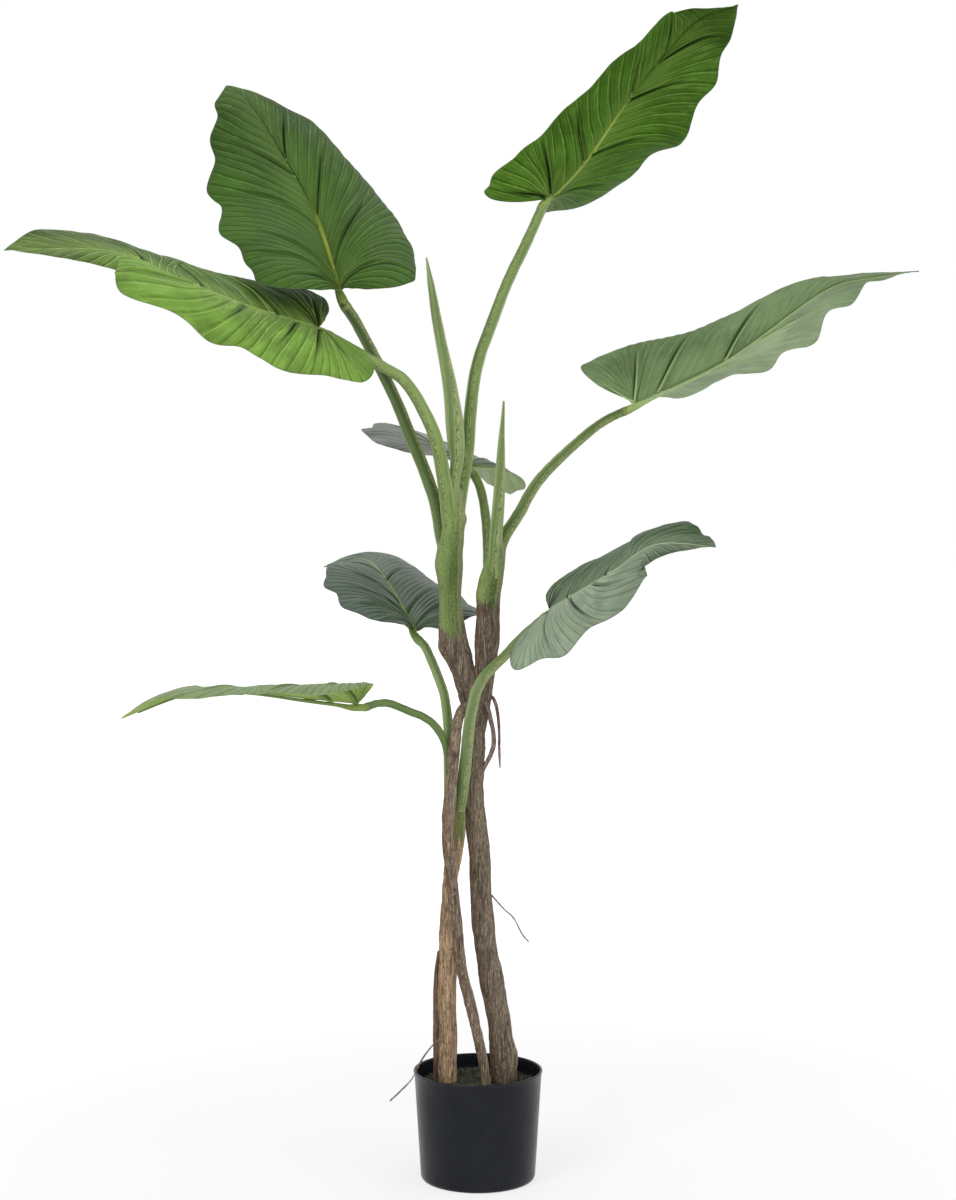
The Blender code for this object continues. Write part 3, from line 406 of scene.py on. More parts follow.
class Nodes:
    """Short way to wire one Principled material. Plain colours are screen colours, 0 to 255."""
    def __init__(self, name):
        self.material = bpy.data.materials.new(name)
        self.material.use_nodes = True
        self.tree = self.material.node_tree
        self.shader = self.tree.nodes["Principled BSDF"]

    def put(self, socket, value):
        if isinstance(value, bpy.types.NodeSocket):
            self.tree.links.new(value, socket)
        elif socket.type == "RGBA":
            socket.default_value = (*linear(value), 1)
        else:
            socket.default_value = value

    def node(self, kind, inputs, out=0, **settings):
        node = self.tree.nodes.new("ShaderNode" + kind)
        for key, value in settings.items():
            setattr(node, key, value)
        for key, value in inputs.items():
            self.put(node.inputs[key], value)
        return node.outputs[out]

    def sum(self, how, a, b=0.0):
        return self.node("Math", {0: a, 1: b}, operation=how)

    def times(self, a, b):
        return self.sum("MULTIPLY", a, b)

    def plus(self, a, b):
        return self.sum("ADD", a, b)

    def minus(self, a, b):
        return self.sum("SUBTRACT", a, b)

    def off(self, value, centre):
        """How far a value is from a centre, either way."""
        return self.sum("ABSOLUTE", self.minus(value, centre))

    def value(self, name):
        return self.node("Attribute", {}, out=2, attribute_name=name)

    def place(self, scale=(1, 1, 1)):
        return self.node("Mapping", {"Vector": self.node("TexCoord", {}, out=3), "Scale": scale})

    def point(self, x, y, z):
        return self.node("CombineXYZ", {"X": x, "Y": y, "Z": z})

    def noise(self, vector, scale, detail=3.0, rough=0.5):
        return self.node("TexNoise",
                         {"Vector": vector, "Scale": scale, "Detail": detail, "Roughness": rough})

    def cells(self, vector, scale):
        return self.node("TexVoronoi", {"Vector": vector, "Scale": scale})

    def fit(self, value, low, high, to_low=0.0, to_high=1.0):
        return self.node("MapRange", {"Value": value, "From Min": low, "From Max": high, "To Min": to_low,
                                      "To Max": to_high}, interpolation_type="SMOOTHSTEP")

    def mix(self, share, a, b, how="MIX"):
        node = self.tree.nodes.new("ShaderNodeMix")
        node.data_type, node.blend_type, node.clamp_factor = "RGBA", how, True
        self.put(node.inputs[0], share)
        self.put(node.inputs[6], a)
        self.put(node.inputs[7], b)
        return node.outputs[2]

    def dim(self, colour, tint):
        return self.mix(1.0, colour, tint, "MULTIPLY")

    def layers(self, colour, *steps):
        """Lay each step's tint over the colour where its value runs from low to high, up to a share."""
        for value, low, high, share, tint in steps:
            colour = self.mix(self.fit(value, low, high, 0.0, share), colour, tint)
        return colour

    def bump(self, height, distance, strength=1.0, normal=None):
        inputs = {"Height": height, "Distance": distance, "Strength": strength}
        if normal is not None:
            inputs["Normal"] = normal
        return self.node("Bump", inputs)

    def finish(self, colour, rough, normal, **sockets):
        self.put(self.shader.inputs["Base Color"], colour)
        self.put(self.shader.inputs["Roughness"], rough)
        self.put(self.shader.inputs["Normal"], normal)
        for key, value in sockets.items():
            self.shader.inputs[key.replace("_", " ")].default_value = value
        return self.material


def shade(colour, share):
    return tuple(c * share for c in colour)


# ---- leaves ----
# Bulges and dips of the left and right margins (share of the outline, how much wider, how far lifted in mm),
# where each half is folded, and how low on the spine its veins start.
MARGINS = {
    "top_left": (
        [(0.16, 0.11, 2), (0.24, 0, 0), (0.32, -0.06, -1), (0.41, 0.03, 1), (0.55, -0.06, -1),
         (0.63, 0.08, 1), (0.72, -0.07, -1), (0.79, 0.02, 0), (0.86, -0.09, -2), (0.93, 0.18, 3)],
        [(0.10, -0.10, 3), (0.17, -0.04, 1), (0.25, -0.02, -2), (0.37, 0.02, 3), (0.60, -0.01, -2),
         (0.78, 0.02, 4), (0.86, -0.02, -2)],
        ([0.16, 0.30, 0.43, 0.64, 0.80], [0.20, 0.57, 0.75, 0.87]), ((1.6, 2.4), (2.2, 2.6))),
    "far_left": (
        [(0.10, -0.05, -2), (0.19, 0.05, 2), (0.28, -0.06, -2), (0.38, 0.01, 2), (0.485, -0.09, -2),
         (0.55, 0.05, 1), (0.59, -0.08, 0), (0.635, 0.03, 0), (0.68, -0.14, 0), (0.74, -0.10, 0),
         (0.80, -0.10, 0)],
        [(0.12, 0.03, 5), (0.30, 0, 2), (0.42, 0.03, 7), (0.50, 0.04, 13), (0.60, 0.04, 13),
         (0.70, 0.02, 1), (0.80, 0.01, 0), (0.88, 0.05, 6)],
        ([0.2, 0.33, 0.43, 0.56, 0.69], [0.16, 0.29, 0.40, 0.55, 0.75]), ((1.15, 2.4), (0.7, 3.0))),
    "top_right": (
        [(0.045, 0.0, 0), (0.095, 0.38, 4), (0.14, 0.12, 2), (0.22, -0.10, 0), (0.30, -0.16, 0),
         (0.39, -0.12, 0), (0.47, -0.18, 0), (0.54, -0.11, 0), (0.61, -0.17, 0), (0.70, -0.12, 0),
         (0.76, -0.15, -1), (0.82, -0.11, 0), (0.92, 0, 0)],
        [(0.05, -0.3, 5), (0.12, -0.1, 7), (0.20, 0.10, 8), (0.29, 0.35, 10), (0.38, 0.36, 6),
         (0.46, 0.12, -1), (0.53, 0.25, 6), (0.65, 0.06, -2), (0.71, 0.14, 3), (0.78, -0.06, -4),
         (0.88, 0, 2)],
        ([0.13, 0.31, 0.44, 0.61, 0.74], [0.38, 0.54, 0.72, 0.86]), ((0.9, 1.4), (1.3, 4.3))),
    "right": (
        [(0.07, -0.07, 0), (0.16, 0.08, 0), (0.23, -0.03, 0), (0.28, 0.14, 0), (0.41, -0.15, 0),
         (0.48, 0.08, 0), (0.54, -0.1, 0), (0.61, 0.14, 0), (0.69, -0.11, 0), (0.74, 0.17, 0),
         (0.83, -0.25, 0), (0.90, 0.17, 0)],
        [(0.10, 0.04, 6), (0.19, -0.01, -1), (0.30, 0.01, 1), (0.45, -0.01, -1), (0.60, 0.01, 1),
         (0.80, -0.01, -1)],
        ([0.2, 0.38, 0.55, 0.75], [0.08, 0.32, 0.48, 0.66]), ((1.8, 2.0), (1.5, 2.0))),
    "back": (
        [(0.20, -0.04, -3), (0.32, 0.04, 3), (0.45, -0.04, -3), (0.55, 0.04, 3), (0.65, -0.04, -3),
         (0.74, 0.03, 2), (0.82, -0.04, -3)],
        [(0.22, -0.04, -3), (0.32, 0.04, 3), (0.42, -0.04, -3), (0.52, 0.04, 3), (0.62, -0.04, -3),
         (0.72, 0.03, 2), (0.80, -0.04, -3)],
        ([0.12, 0.34, 0.55, 0.74], [0.14, 0.34, 0.54, 0.72]), ((1.8, 2.0), (1.8, 2.0))),
    "low_right": (
        [(0.20, 0.01, 1), (0.45, 0, 0), (0.55, -0.08, 0), (0.61, -0.25, -2), (0.66, -0.25, -2),
         (0.73, 0.20, 2), (0.79, 0, 0), (0.85, -0.12, -3), (0.92, -0.12, 1)],
        [(0.16, -0.04, -2), (0.25, 0.07, 2), (0.35, -0.06, -2), (0.46, 0.03, 1), (0.57, -0.12, -1),
         (0.645, 0.0, 0), (0.69, -0.19, 0), (0.75, -0.12, -1), (0.81, -0.12, -3), (0.88, -0.24, -2)],
        ([0.14, 0.27, 0.42, 0.62], [0.16, 0.42, 0.61, 0.73]), ((0.8, 2.6), (1.8, 2.2))),
    "mid_left": (
        [(0.09, 0.04, 0), (0.18, -0.03, 0), (0.28, 0.03, 0), (0.36, -0.03, 0), (0.43, 0.07, 1),
         (0.51, -0.01, 0), (0.64, -0.1, -1), (0.77, 0.05, 1), (0.88, -0.02, 0)],
        [(0.06, -0.05, -6), (0.13, 0.05, 6), (0.22, 0.01, 2), (0.35, -0.03, -4), (0.50, 0.01, 1),
         (0.65, -0.01, -1), (0.86, 0.06, 7)],
        ([0.12, 0.28, 0.44, 0.58, 0.76], [0.13, 0.34, 0.52, 0.74]), ((1.5, 2.0), (1.5, 2.0))),
    "low_left": (
        [(0.15, -0.02, 0), (0.30, 0.12, 2), (0.50, -0.04, -1), (0.60, 0, 0), (0.70, 0.25, -3),
         (0.80, 0, 0)],
        [(0.20, 0.01, 3), (0.40, 0.05, 5), (0.60, 0.05, 5), (0.78, 0.02, 1), (0.90, 0, 1)],
        ([0.15, 0.32, 0.5, 0.72], [0.18, 0.38, 0.56, 0.74]), ((1.5, 2.0), (1.5, 2.0))),
}
for name, (left, right, folds, start) in MARGINS.items():
    LEAVES[name].update(margin=(left, right), folds=folds, start=start)
LEAF_LOOKS = {  # top of the left and right halves, underside of each, vein, tip, roughness, specular level
    "top_left": ((68, 106, 34), (66, 102, 34), (112, 136, 84), (112, 136, 84), (126, 156, 84),
                 (56, 88, 30), 0.55, 0.08),
    "far_left": ((132, 176, 72), (82, 116, 42), (120, 144, 92), (120, 144, 92), (190, 218, 126),
                 (64, 94, 34), 0.54, 0.1),
    "top_right": ((84, 130, 40), (88, 134, 42), (84, 130, 40), (88, 134, 42), (158, 188, 96),
                  (84, 124, 46), 0.52, 0.03),
    "right": ((74, 106, 52), (74, 106, 52), (190, 216, 168), (146, 176, 120), (150, 172, 118),
              (66, 96, 50), 0.5, 0.25),
    # back: its top is a grey green, partly painted grazing reflection; its very pale underside is painted
    # light shining through the leaf.
    "back": ((100, 112, 96), (100, 112, 96), (196, 218, 156), (228, 252, 186), (144, 162, 126),
             (96, 106, 94), 0.45, 0.5),
    # low_right: its pale right half is a painted sheen.
    "low_right": ((76, 104, 64), (172, 190, 162), (150, 170, 140), (150, 170, 140), (186, 200, 176),
                  (46, 76, 32), 0.5, 0.15),
    "mid_left": ((74, 100, 78), (76, 102, 80), (120, 140, 100), (120, 140, 100), (140, 160, 130),
                 (74, 96, 78), 0.42, 0.3),
    "low_left": ((150, 178, 120), (152, 178, 120), (196, 228, 124), (196, 228, 124), (180, 200, 140),
                 (150, 176, 96), 0.48, 0.3),
}
ALWAYS_LIT = 9.0  # a share beyond the tip, so the stripe stays pale all along
SPINES = {  # share of the spine where its pale stripe gives way to painted groove shade, and the stripe's colour
    "top_left": (0.35, (176, 186, 84)),
    "top_right": (0.42, (172, 188, 84)),
    "far_left": (ALWAYS_LIT, (138, 172, 80)),
    "mid_left": (ALWAYS_LIT, (150, 186, 76)),
    "low_right": (ALWAYS_LIT, (176, 196, 150)),
    "low_left": (ALWAYS_LIT, (176, 196, 110)),
}
VEINS_PER_HALF = 34
LEAF_ALONG, LEAF_ACROSS = ((284, 24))
SKIN_HALF = 0.0004
FOLD_DEPTH, FOLD_CREST = 0.0036, 0.0022
QUILT_HEIGHT, DRIFT_HEIGHT, SPINE_GROOVE = 0.00030, 0.0018, 0.0010


def leaf_skin(name, left, right, vein, tip, rough, gloss, folds_light, shade_from, spine_glow):
    """Veined leaf skin, with painted shade beside its veins and painted shade and highlights at its folds and
    spine. Reads, in metres, how far the next vein, the next fold and the spine are.
    """
    n = Nodes(name)
    count, reach, seed = n.value("count"), n.value("reach"), n.value("seed")
    fold, deep, gap, along_spine = n.value("fold"), n.value("deep"), n.value("gap"), n.value("share")

    def flow(across, outwards):
        return n.point(n.times(count, across), n.times(reach, outwards), seed)

    def vein_gap(times):
        part = n.sum("ABSOLUTE", n.minus(n.sum("FRACT", n.times(count, times)), 0.5))
        return n.times(part, n.sum("DIVIDE", n.value("pitch"), times))

    place = n.place()
    cloud, speck = n.noise(place, 16.0, 3.0, 0.55), n.noise(place, 480.0, 2.0, 0.6)
    streak, beads = n.noise(flow(3.0, 3.0), 1.0, 3.0, 0.62), n.noise(flow(0.9, 14.0), 1.0, 3.0, 0.6)
    base = n.mix(n.fit(n.value("half"), 0.3, 0.7), left, right)
    base = n.mix(n.fit(along_spine, 0.50, 0.88, 0.0, 0.95), base, tip)
    dark, pale = n.dim(base, (196, 196, 196)), n.mix(0.22, base, vein)
    colour = n.mix(n.fit(cloud, 0.32, 0.68, 0.0, 0.75), dark, base)
    colour = n.layers(
        colour,
        (streak, 0.45, 0.75, 0.8, pale),
        (streak, 0.5, 0.3, 0.45, dark),
        (speck, 0.5, 0.75, 0.18, pale))
    # Painted shade: on the top side each gap between veins is darker just past the vein.
    ramp = n.sum("FRACT", n.plus(count, 0.5))
    vein_side_shade = n.times(n.fit(n.off(ramp, 0.16), 0.20, 0.0), n.fit(beads, 0.7, 0.4, 0.4, 1.0))
    colour = n.mix(n.times(vein_side_shade, 0.0 if folds_light else 0.85), colour, n.dim(base, (172, 178, 166)))
    strength = n.times(n.fit(beads, 0.3, 0.65, 0.35, 1.0), n.fit(reach, 1.0, 0.75, 0.35, 1.0))
    glow = n.times(n.fit(vein_gap(1.0), 0.0016, 0.0), strength)
    line = n.times(n.fit(vein_gap(1.0), 0.0007, 0.0002), strength)
    lines = 0.5 if folds_light else 1.0
    colour = n.mix(n.times(glow, 0.26 * lines), colour, vein)
    colour = n.mix(n.times(line, 0.62 * lines), colour, vein)
    colour = n.mix(n.times(n.fit(vein_gap(3.0), 0.0004, 0.0001), 0.16), colour, vein)
    # Painted light at each fold: shadow is painted shade on one side and crest a painted highlight on the
    # other. On the top side crack is the painted shade down the crease, and on the underside the third line
    # is painted shadow beside the rib.
    shadow = n.times(n.fit(n.off(fold, -0.0020), 0.008, 0.0), deep)
    crest = n.times(n.fit(n.off(fold, 0.0016), 0.0014, 0.0), deep)
    crack = n.times(n.fit(n.sum("ABSOLUTE", fold), 0.0024, 0.0008), deep)
    crease_shade = n.dim(base, (54, 64, 58))
    if folds_light:
        colour = n.mix(n.times(shadow, 0.5), colour, n.dim(base, (150, 160, 140)))
        colour = n.mix(n.times(crest, 0.3), colour, vein)
        colour = n.mix(n.times(n.fit(n.off(fold, -0.0034), 0.0022, 0.0006), deep), colour,
                       n.dim(base, (104, 120, 92)))
    else:
        # Painted highlight: the top skin is lighter close to the spine.
        colour = n.mix(n.fit(gap, 0.040, 0.006, 0.0, 0.16), colour, vein)
        colour = n.mix(n.times(shadow, 0.95), colour, n.dim(base, (146, 154, 150)))
        colour = n.mix(n.times(crest, 0.45), colour, vein)
        colour = n.mix(n.times(crack, 0.95), colour, crease_shade)
    # Past its given share the spine's pale stripe turns to painted groove shade and narrows.
    spine = n.mix(n.fit(along_spine, shade_from - 0.14, shade_from + 0.14), n.mix(0.3, spine_glow, vein),
                  n.mix(0.45, crease_shade, base))
    wide = n.times(n.fit(along_spine, 0.0, 1.0, 0.0042, 0.0013),
                   n.fit(along_spine, shade_from - 0.1, shade_from + 0.1, 1.0, 0.55))
    stripe = n.times(n.fit(n.sum("DIVIDE", gap, wide), 1.0, 0.6, 0.0, 0.92),
                     n.fit(along_spine, 0.985, 0.90))
    colour = n.mix(stripe, colour, spine)
    colour = n.mix(n.fit(reach, 0.984, 0.996, 0.0, 0.55), colour, n.mix(0.5, base, (128, 118, 124)))
    height = n.plus(n.times(line, 0.35), n.times(streak, 0.8))
    height = n.plus(height, n.times(beads, 0.25))
    normal = n.bump(height, 0.0007, 0.6)
    normal = n.bump(speck, 0.0002, 0.3, normal)
    return n.finish(colour, n.fit(cloud, 0.3, 0.7, rough - 0.04, rough + 0.08), normal,
                    Specular_IOR_Level=gloss,
                    Sheen_Weight=0.10 if gloss > 0.3 else 0.0, Sheen_Roughness=0.4)


def fold_rows(leaf, side):
    """Shares along the outline, closer together next to each fold."""
    fine = np.linspace(0, 1, 2001)
    weight = 1 + sum(3.0 * np.exp(-((fine - mark) / 0.010) ** 2) for mark in leaf["folds"][max(side, 0)])
    run = np.concatenate([[0], np.cumsum((weight[1:] + weight[:-1]) / 2)])
    return np.interp(np.linspace(0, run[-1], LEAF_ALONG + 1), run, fine)


def fold_line(mark, u):
    """Where a fold runs along the outline, bending as it goes from the spine to the margin."""
    return mark + 0.010 * np.sin(u * 3.2 + mark * 9) * u


def fold_end(mark, side):
    """How far towards the margin a fold reaches."""
    return 0.80 + 0.12 * np.sin(mark * 31 + side)


def fold_strength(u, end):
    """1 along a fold, fading in at the spine and out before its end."""
    return np.clip((u + 0.03) / 0.08, 0, 1) * np.clip((end - u) / 0.42, 0, 1) ** 0.8


def fold_state(leaf, side, v, u, width):
    """Signed distance (metres) to the nearest fold, and how deep that fold is there."""
    marks = np.array(leaf["folds"][max(side, 0)])
    gaps = (v[..., None] - fold_line(marks, u[..., None])) * width[..., None]
    nearest = np.abs(gaps).argmin(-1)[..., None]
    end = np.take_along_axis(np.broadcast_to(fold_end(marks, side), gaps.shape), nearest, -1)[..., 0]
    return np.take_along_axis(gaps, nearest, -1)[..., 0], fold_strength(u, end)


def half_leaf(leaf, side, seed):
    """Middle places, outward directions, lift, and the values that the skin reads, on one half."""
    v, u = np.meshgrid(fold_rows(leaf, side), np.linspace(0, 1, LEAF_ACROSS + 1) ** 0.85, indexing="ij")
    place = leaf_points(leaf, side, v, u)
    across, share = flat_leaf(v, u, leaf["start"][max(side, 0)])
    _, _, up, _, length = spine_frame(leaf, share)
    ahead, behind = np.clip(v + 0.004, 0, 1), np.clip(v - 0.004, 0, 1)
    step = leaf_points(leaf, side, ahead, u) - leaf_points(leaf, side, behind, u)
    width = np.linalg.norm(step, axis=-1) / (ahead - behind)
    normal = np.cross(np.gradient(place, axis=1), np.gradient(place, axis=0)) * side
    normal = unit(normal + up * 1e-9)
    blend = np.clip(u / 0.10, 0, 1)[..., None]
    normal = unit(up * (1 - blend) + normal * blend)
    wander = field(np.stack([v * 9, u * 1.5, 0 * v], -1), (1, 1, 1), seed + 20 * side)
    count = v * VEINS_PER_HALF + 0.5 + 0.5 * wander * np.clip(u * 3, 0, 1)
    pitch = width / VEINS_PER_HALF
    fold, deep = fold_state(leaf, side, v, u, width)
    inside = np.clip(u * 5, 0, 1) * np.clip((1.01 - u) * 9, 0, 1)
    quilt = -np.cos(2 * math.pi * (count - 0.5)) * np.clip(pitch / 0.006, 0, 1.2) * inside
    crease = np.exp(-(fold / 0.0030) ** 2) * deep
    crest = np.exp(-((fold - 0.0065) / 0.0045) ** 2) * deep
    gap = across * length
    drift = field(place, (20, 20, 20), seed) + 0.5 * field(place, (55, 55, 55), seed + 3)
    lift = QUILT_HEIGHT * quilt - FOLD_DEPTH * crease + FOLD_CREST * crest + DRIFT_HEIGHT * drift * u ** 1.2
    lift -= SPINE_GROOVE * np.exp(-(gap / 0.0028) ** 2)
    values = dict(count=count + (side > 0) * 100, reach=u, gap=gap, fold=fold, deep=deep,
                  pitch=pitch, share=share, half=float(side > 0), seed=seed + side)
    return v, place, normal, lift, values


def fine_blade(name, leaf, seed):
    left, right, under_left, under_right, vein, tip, rough, gloss = LEAF_LOOKS[name]
    pale = tuple(min(255, c + 22) for c in under_right)
    shade_from, glow = SPINES.get(name, (ALWAYS_LIT, (170, 180, 110)))
    skins = [leaf_skin("leaf_top_" + name, left, right, vein, tip, rough, gloss, False, shade_from, glow),
             leaf_skin("leaf_under_" + name, under_left, under_right, pale, under_right, 0.58, 0.2, True,
                       ALWAYS_LIT, shade(under_right, 0.7))]
    shape = Shape("count", "reach", "gap", "fold", "deep", "pitch", "share", "half", "seed")
    rows, columns = LEAF_ALONG + 1, LEAF_ACROSS + 1
    for half, side in enumerate((-1, 1)):
        v, place, normal, lift, values = half_leaf(leaf, side, seed)
        spread = np.stack([v, values["reach"]], -1).reshape(-1, 2) * 0.45 + 0.01
        starts = []
        for skin, way in enumerate((1, -1)):
            start = shape.count
            starts.append(start)
            thick = way * SKIN_HALF * np.clip((1.0 - values["reach"]) * 12, 0.2, 1)
            quads = grid_faces(rows, columns, start, flip=way * side < 0)
            maps = spread[quads - start] + np.array([0.49 * half, 0.49 * skin])
            flat = {key: np.broadcast_to(value, v.shape) for key, value in values.items()}
            shape.add(place + normal * (lift + thick)[..., None], quads, skin, maps, **flat)
        rim = np.arange(rows) * columns + columns - 1
        strip = np.stack([rim[:-1] + starts[0], rim[:-1] + starts[1], rim[1:] + starts[1],
                          rim[1:] + starts[0]], -1)
        run, low, high = v[:, 0] * 0.45 + 0.01, 0.975 + 0.012 * half, 0.983 + 0.012 * half
        corners = [(run[:-1], low), (run[:-1], high), (run[1:], high), (run[1:], low)]
        maps = np.stack([np.stack([x, np.full(rows - 1, y)], -1) for x, y in corners], 1)
        shape.join(strip if side > 0 else strip[:, ::-1], 1, maps)
    return shape.piece("leaf_" + name, skins, "leaf_sheet", "blade_" + name)


def rib_skin(name, dark, light):
    n = Nodes(name)
    turn, run = n.value("turn"), n.value("run")
    grain = n.noise(n.point(n.times(n.sum("COSINE", turn), 2.0), n.times(n.sum("SINE", turn), 2.0),
                            n.times(run, 30.0)), 3.0, 3.0)
    speck = n.noise(n.place(), 700.0, 2.0, 0.6)
    colour = n.mix(n.fit(grain, 0.3, 0.7), dark, light)
    colour = n.mix(n.fit(speck, 0.5, 0.8, 0.0, 0.4), colour, shade(light, 1.2))
    colour = n.mix(n.times(n.value("knob"), n.fit(speck, 0.3, 0.6, 0.5, 1.0)), colour, (148, 172, 88))
    return n.finish(colour, n.fit(grain, 0.3, 0.7, 0.46, 0.6), n.bump(grain, 0.0004, 0.7),
                    Specular_IOR_Level=0.3)


def fine_ribs(name, leaf, rib_line, skin):
    """Spine rib with a knob at the joint, and the raised side ribs on the underside."""
    steps = 110
    line, length = even_curve(rib_line, steps)
    share = np.linspace(0, 1, steps)
    radii = RIB_START_RADIUS + (RIB_END_RADIUS - RIB_START_RADIUS) * share ** 0.7
    near = np.clip((share * length - 0.005) / 0.034, 0, 1)
    swell = (leaf["radii"][1] + 0.0002 - RIB_START_RADIUS) * (1 - near * near * (3 - 2 * near))
    shape = Shape("turn", "run", "knob")
    rings, turn, run, out = tube(line, radii + swell, 18)
    knobs = np.exp(-(run / 0.028) ** 2)
    rings = rings + out * (0.0007 * knobs * field(rings, (420, 420, 420)))[..., None]
    add_tube(shape, rings, turn=turn, run=run, knob=knobs)
    for side in (-1, 1):
        for mark in leaf["folds"][max(side, 0)]:
            end = fold_end(mark, side)
            u = np.linspace(0.0, end, 36)
            v = fold_line(mark, u)
            near = leaf_points(leaf, side, np.stack([v, v + 0.01]), np.stack([u, u]))
            _, at = flat_leaf(v, u, leaf["start"][max(side, 0)])
            up = spine_frame(leaf, at)[2]
            normal = unit(np.cross(np.gradient(near[0], axis=0), near[1] - near[0]) + up * 1e-9)
            normal *= np.where((normal * up).sum(-1, keepdims=True) > 0, 1, -1)
            radius = 0.0015 * (1 - u / end) ** 0.8 + 0.0002
            below = FOLD_DEPTH * fold_strength(u, end) + SKIN_HALF + radius * 0.2
            rings, turn, run, _ = tube(near[0] - normal * below[:, None], radius, 8)
            add_tube(shape, rings, turn=turn, run=run)
    return shape.piece("ribs_" + name, [skin], "leaf_rib", "rib_" + name)


# ---- stalks and spears ----
def stalk_skin(name, base, light, dark):
    """Fibrous green skin with a painted highlight along both edges, painted shade to one side of the groove,
    a speckled yellowish strip up the groove and a broken dark line in it.
    """
    n = Nodes(name)
    turn, run, lean, flank = n.value("turn"), n.value("run"), n.value("lean"), n.value("flank")
    x, y = n.sum("COSINE", turn), n.sum("SINE", turn)
    fibre = n.noise(n.point(x, y, n.times(run, 4.0)), 11.0, 4.0, 0.65)
    cloud = n.noise(n.place((1, 1, 0.5)), 36.0, 3.0, 0.5)
    rough = n.point(n.times(x, 0.012), n.times(y, 0.012), n.times(run, 0.5))
    speck, fleck = n.cells(rough, 330.0), n.noise(rough, 620.0, 3.0, 0.7)
    foot = n.fit(run, 0.20, 0.0, 0.15, 1.0)
    colour = n.mix(n.fit(fibre, 0.32, 0.68), shade(base, 0.9), shade(base, 1.12))
    # Painted light: the flank layer is a painted highlight along both edges, and the lean layer painted shade
    # on one side of the groove.
    colour = n.layers(
        colour,
        (cloud, 0.42, 0.75, 0.35, dark),
        (n.off(lean, -0.62), 0.50, 0.15, 0.75, dark),
        (flank, 0.62, 0.97, 0.8, light))
    strip = n.fit(n.sum("ABSOLUTE", lean), 0.34, 0.12)
    yellow = n.mix(n.fit(fleck, 0.40, 0.58), shade(dark, 0.62), (184, 190, 122))
    colour = n.mix(n.times(strip, 0.72), colour, yellow)
    line = n.times(n.fit(n.off(lean, -0.10), 0.075, 0.02),
                 n.fit(n.noise(rough, 240.0, 3.0, 0.7), 0.36, 0.50, 0.05, 0.62))
    colour = n.mix(line, colour, shade(dark, 0.42))
    colour = n.mix(n.times(n.fit(speck, 0.32, 0.14), n.times(foot, 0.6)), colour, shade(dark, 0.55))
    colour = n.mix(n.times(n.fit(fleck, 0.60, 0.76), foot), colour, (190, 198, 146))
    colour = n.mix(n.fit(n.value("end"), 0.2, 0.9, 0.0, 0.6), colour, (150, 164, 92))
    normal = n.bump(n.plus(fibre, n.times(fleck, 0.3)), 0.0006, 0.8)
    return n.finish(colour, n.fit(cloud, 0.3, 0.7, 0.38, 0.5), normal, Specular_IOR_Level=0.35)


def fine_stalk(name, leaf, stalk_line, skin, towards):
    """Ridged stalk with a groove and a collar under the leaf."""
    steps = 150
    line, length = even_curve(stalk_line, steps)
    share = np.linspace(0, 1, steps)
    radii = along(leaf["radii"], share ** 0.8)
    radii = radii * (1 - 0.12 * (1 - share))
    end = np.exp(-((share * length - length + 0.004) / 0.0030) ** 2)
    radii = radii + 0.0005 * end

    def outline(out, run):
        near = heading(out, towards + 0.25 * np.sin(run * 9))
        shape = 1.03 - 0.13 * np.exp(-(near / 0.22) ** 2) + 0.07 * np.exp(-((near - 0.50) / 0.20) ** 2)
        return shape - 0.05 * np.exp(-((near - 1.5) / 0.25) ** 2) + 0.03 * np.cos(near * 6 + 1)

    rings, turn, run, out = tube(line, radii, 40, outline)
    relief = 0.0004 * field(rings, (170, 170, 40)) + 0.00012 * field(rings, (900, 900, 90))
    rings = rings + out * relief[..., None]
    shape = Shape("turn", "run", "lean", "flank", "end")
    add_tube(shape, rings, turn=turn, run=run, lean=heading(out, towards + 0.25 * np.sin(run * 9), True),
             flank=np.abs(out[..., 0]), end=np.exp(-((run - length - 0.002) / 0.0035) ** 2))
    return shape.piece("stem_" + name, [skin], "stalk_skin", "stalk_" + name)


SPEAR_RADII = {
    "spear_tall": [0.0080, 0.0080, 0.0076, 0.0080, 0.0112, 0.0118, 0.0100, 0.0086, 0.0074, 0.0065, 0.0056,
                   0.0040, 0.0010],
    "spear_short": [0.0090, 0.0086, 0.0074, 0.0048, 0.0013],
}


def fine_spear(name, skin, towards):
    """Rolled young leaf in its sheath: a seam winds up it, and it narrows to a point."""
    spec = STEMS[name]
    steps = 170
    line, length = even_curve(spec["path"], steps)
    radii = along(SPEAR_RADII[name], np.linspace(0, 1, steps))

    def outline(out, run):
        near = heading(out, towards + run * 5.0)
        return 1.02 - 0.14 * np.exp(-(near / 0.16) ** 2) + 0.06 * np.exp(-((near - 0.45) / 0.25) ** 2)

    rings, turn, run, out = tube(line, radii, 40, outline)
    rings = rings + out * (0.0004 * field(rings, (160, 160, 30)))[..., None]
    shape = Shape("turn", "run", "lean", "flank", "end")
    add_tube(shape, rings, turn=turn, run=run, lean=heading(out, towards + run * 5.0, True),
             flank=np.abs(out[..., 0]))
    return shape.piece("young_" + name, [skin], "spear_skin", name)


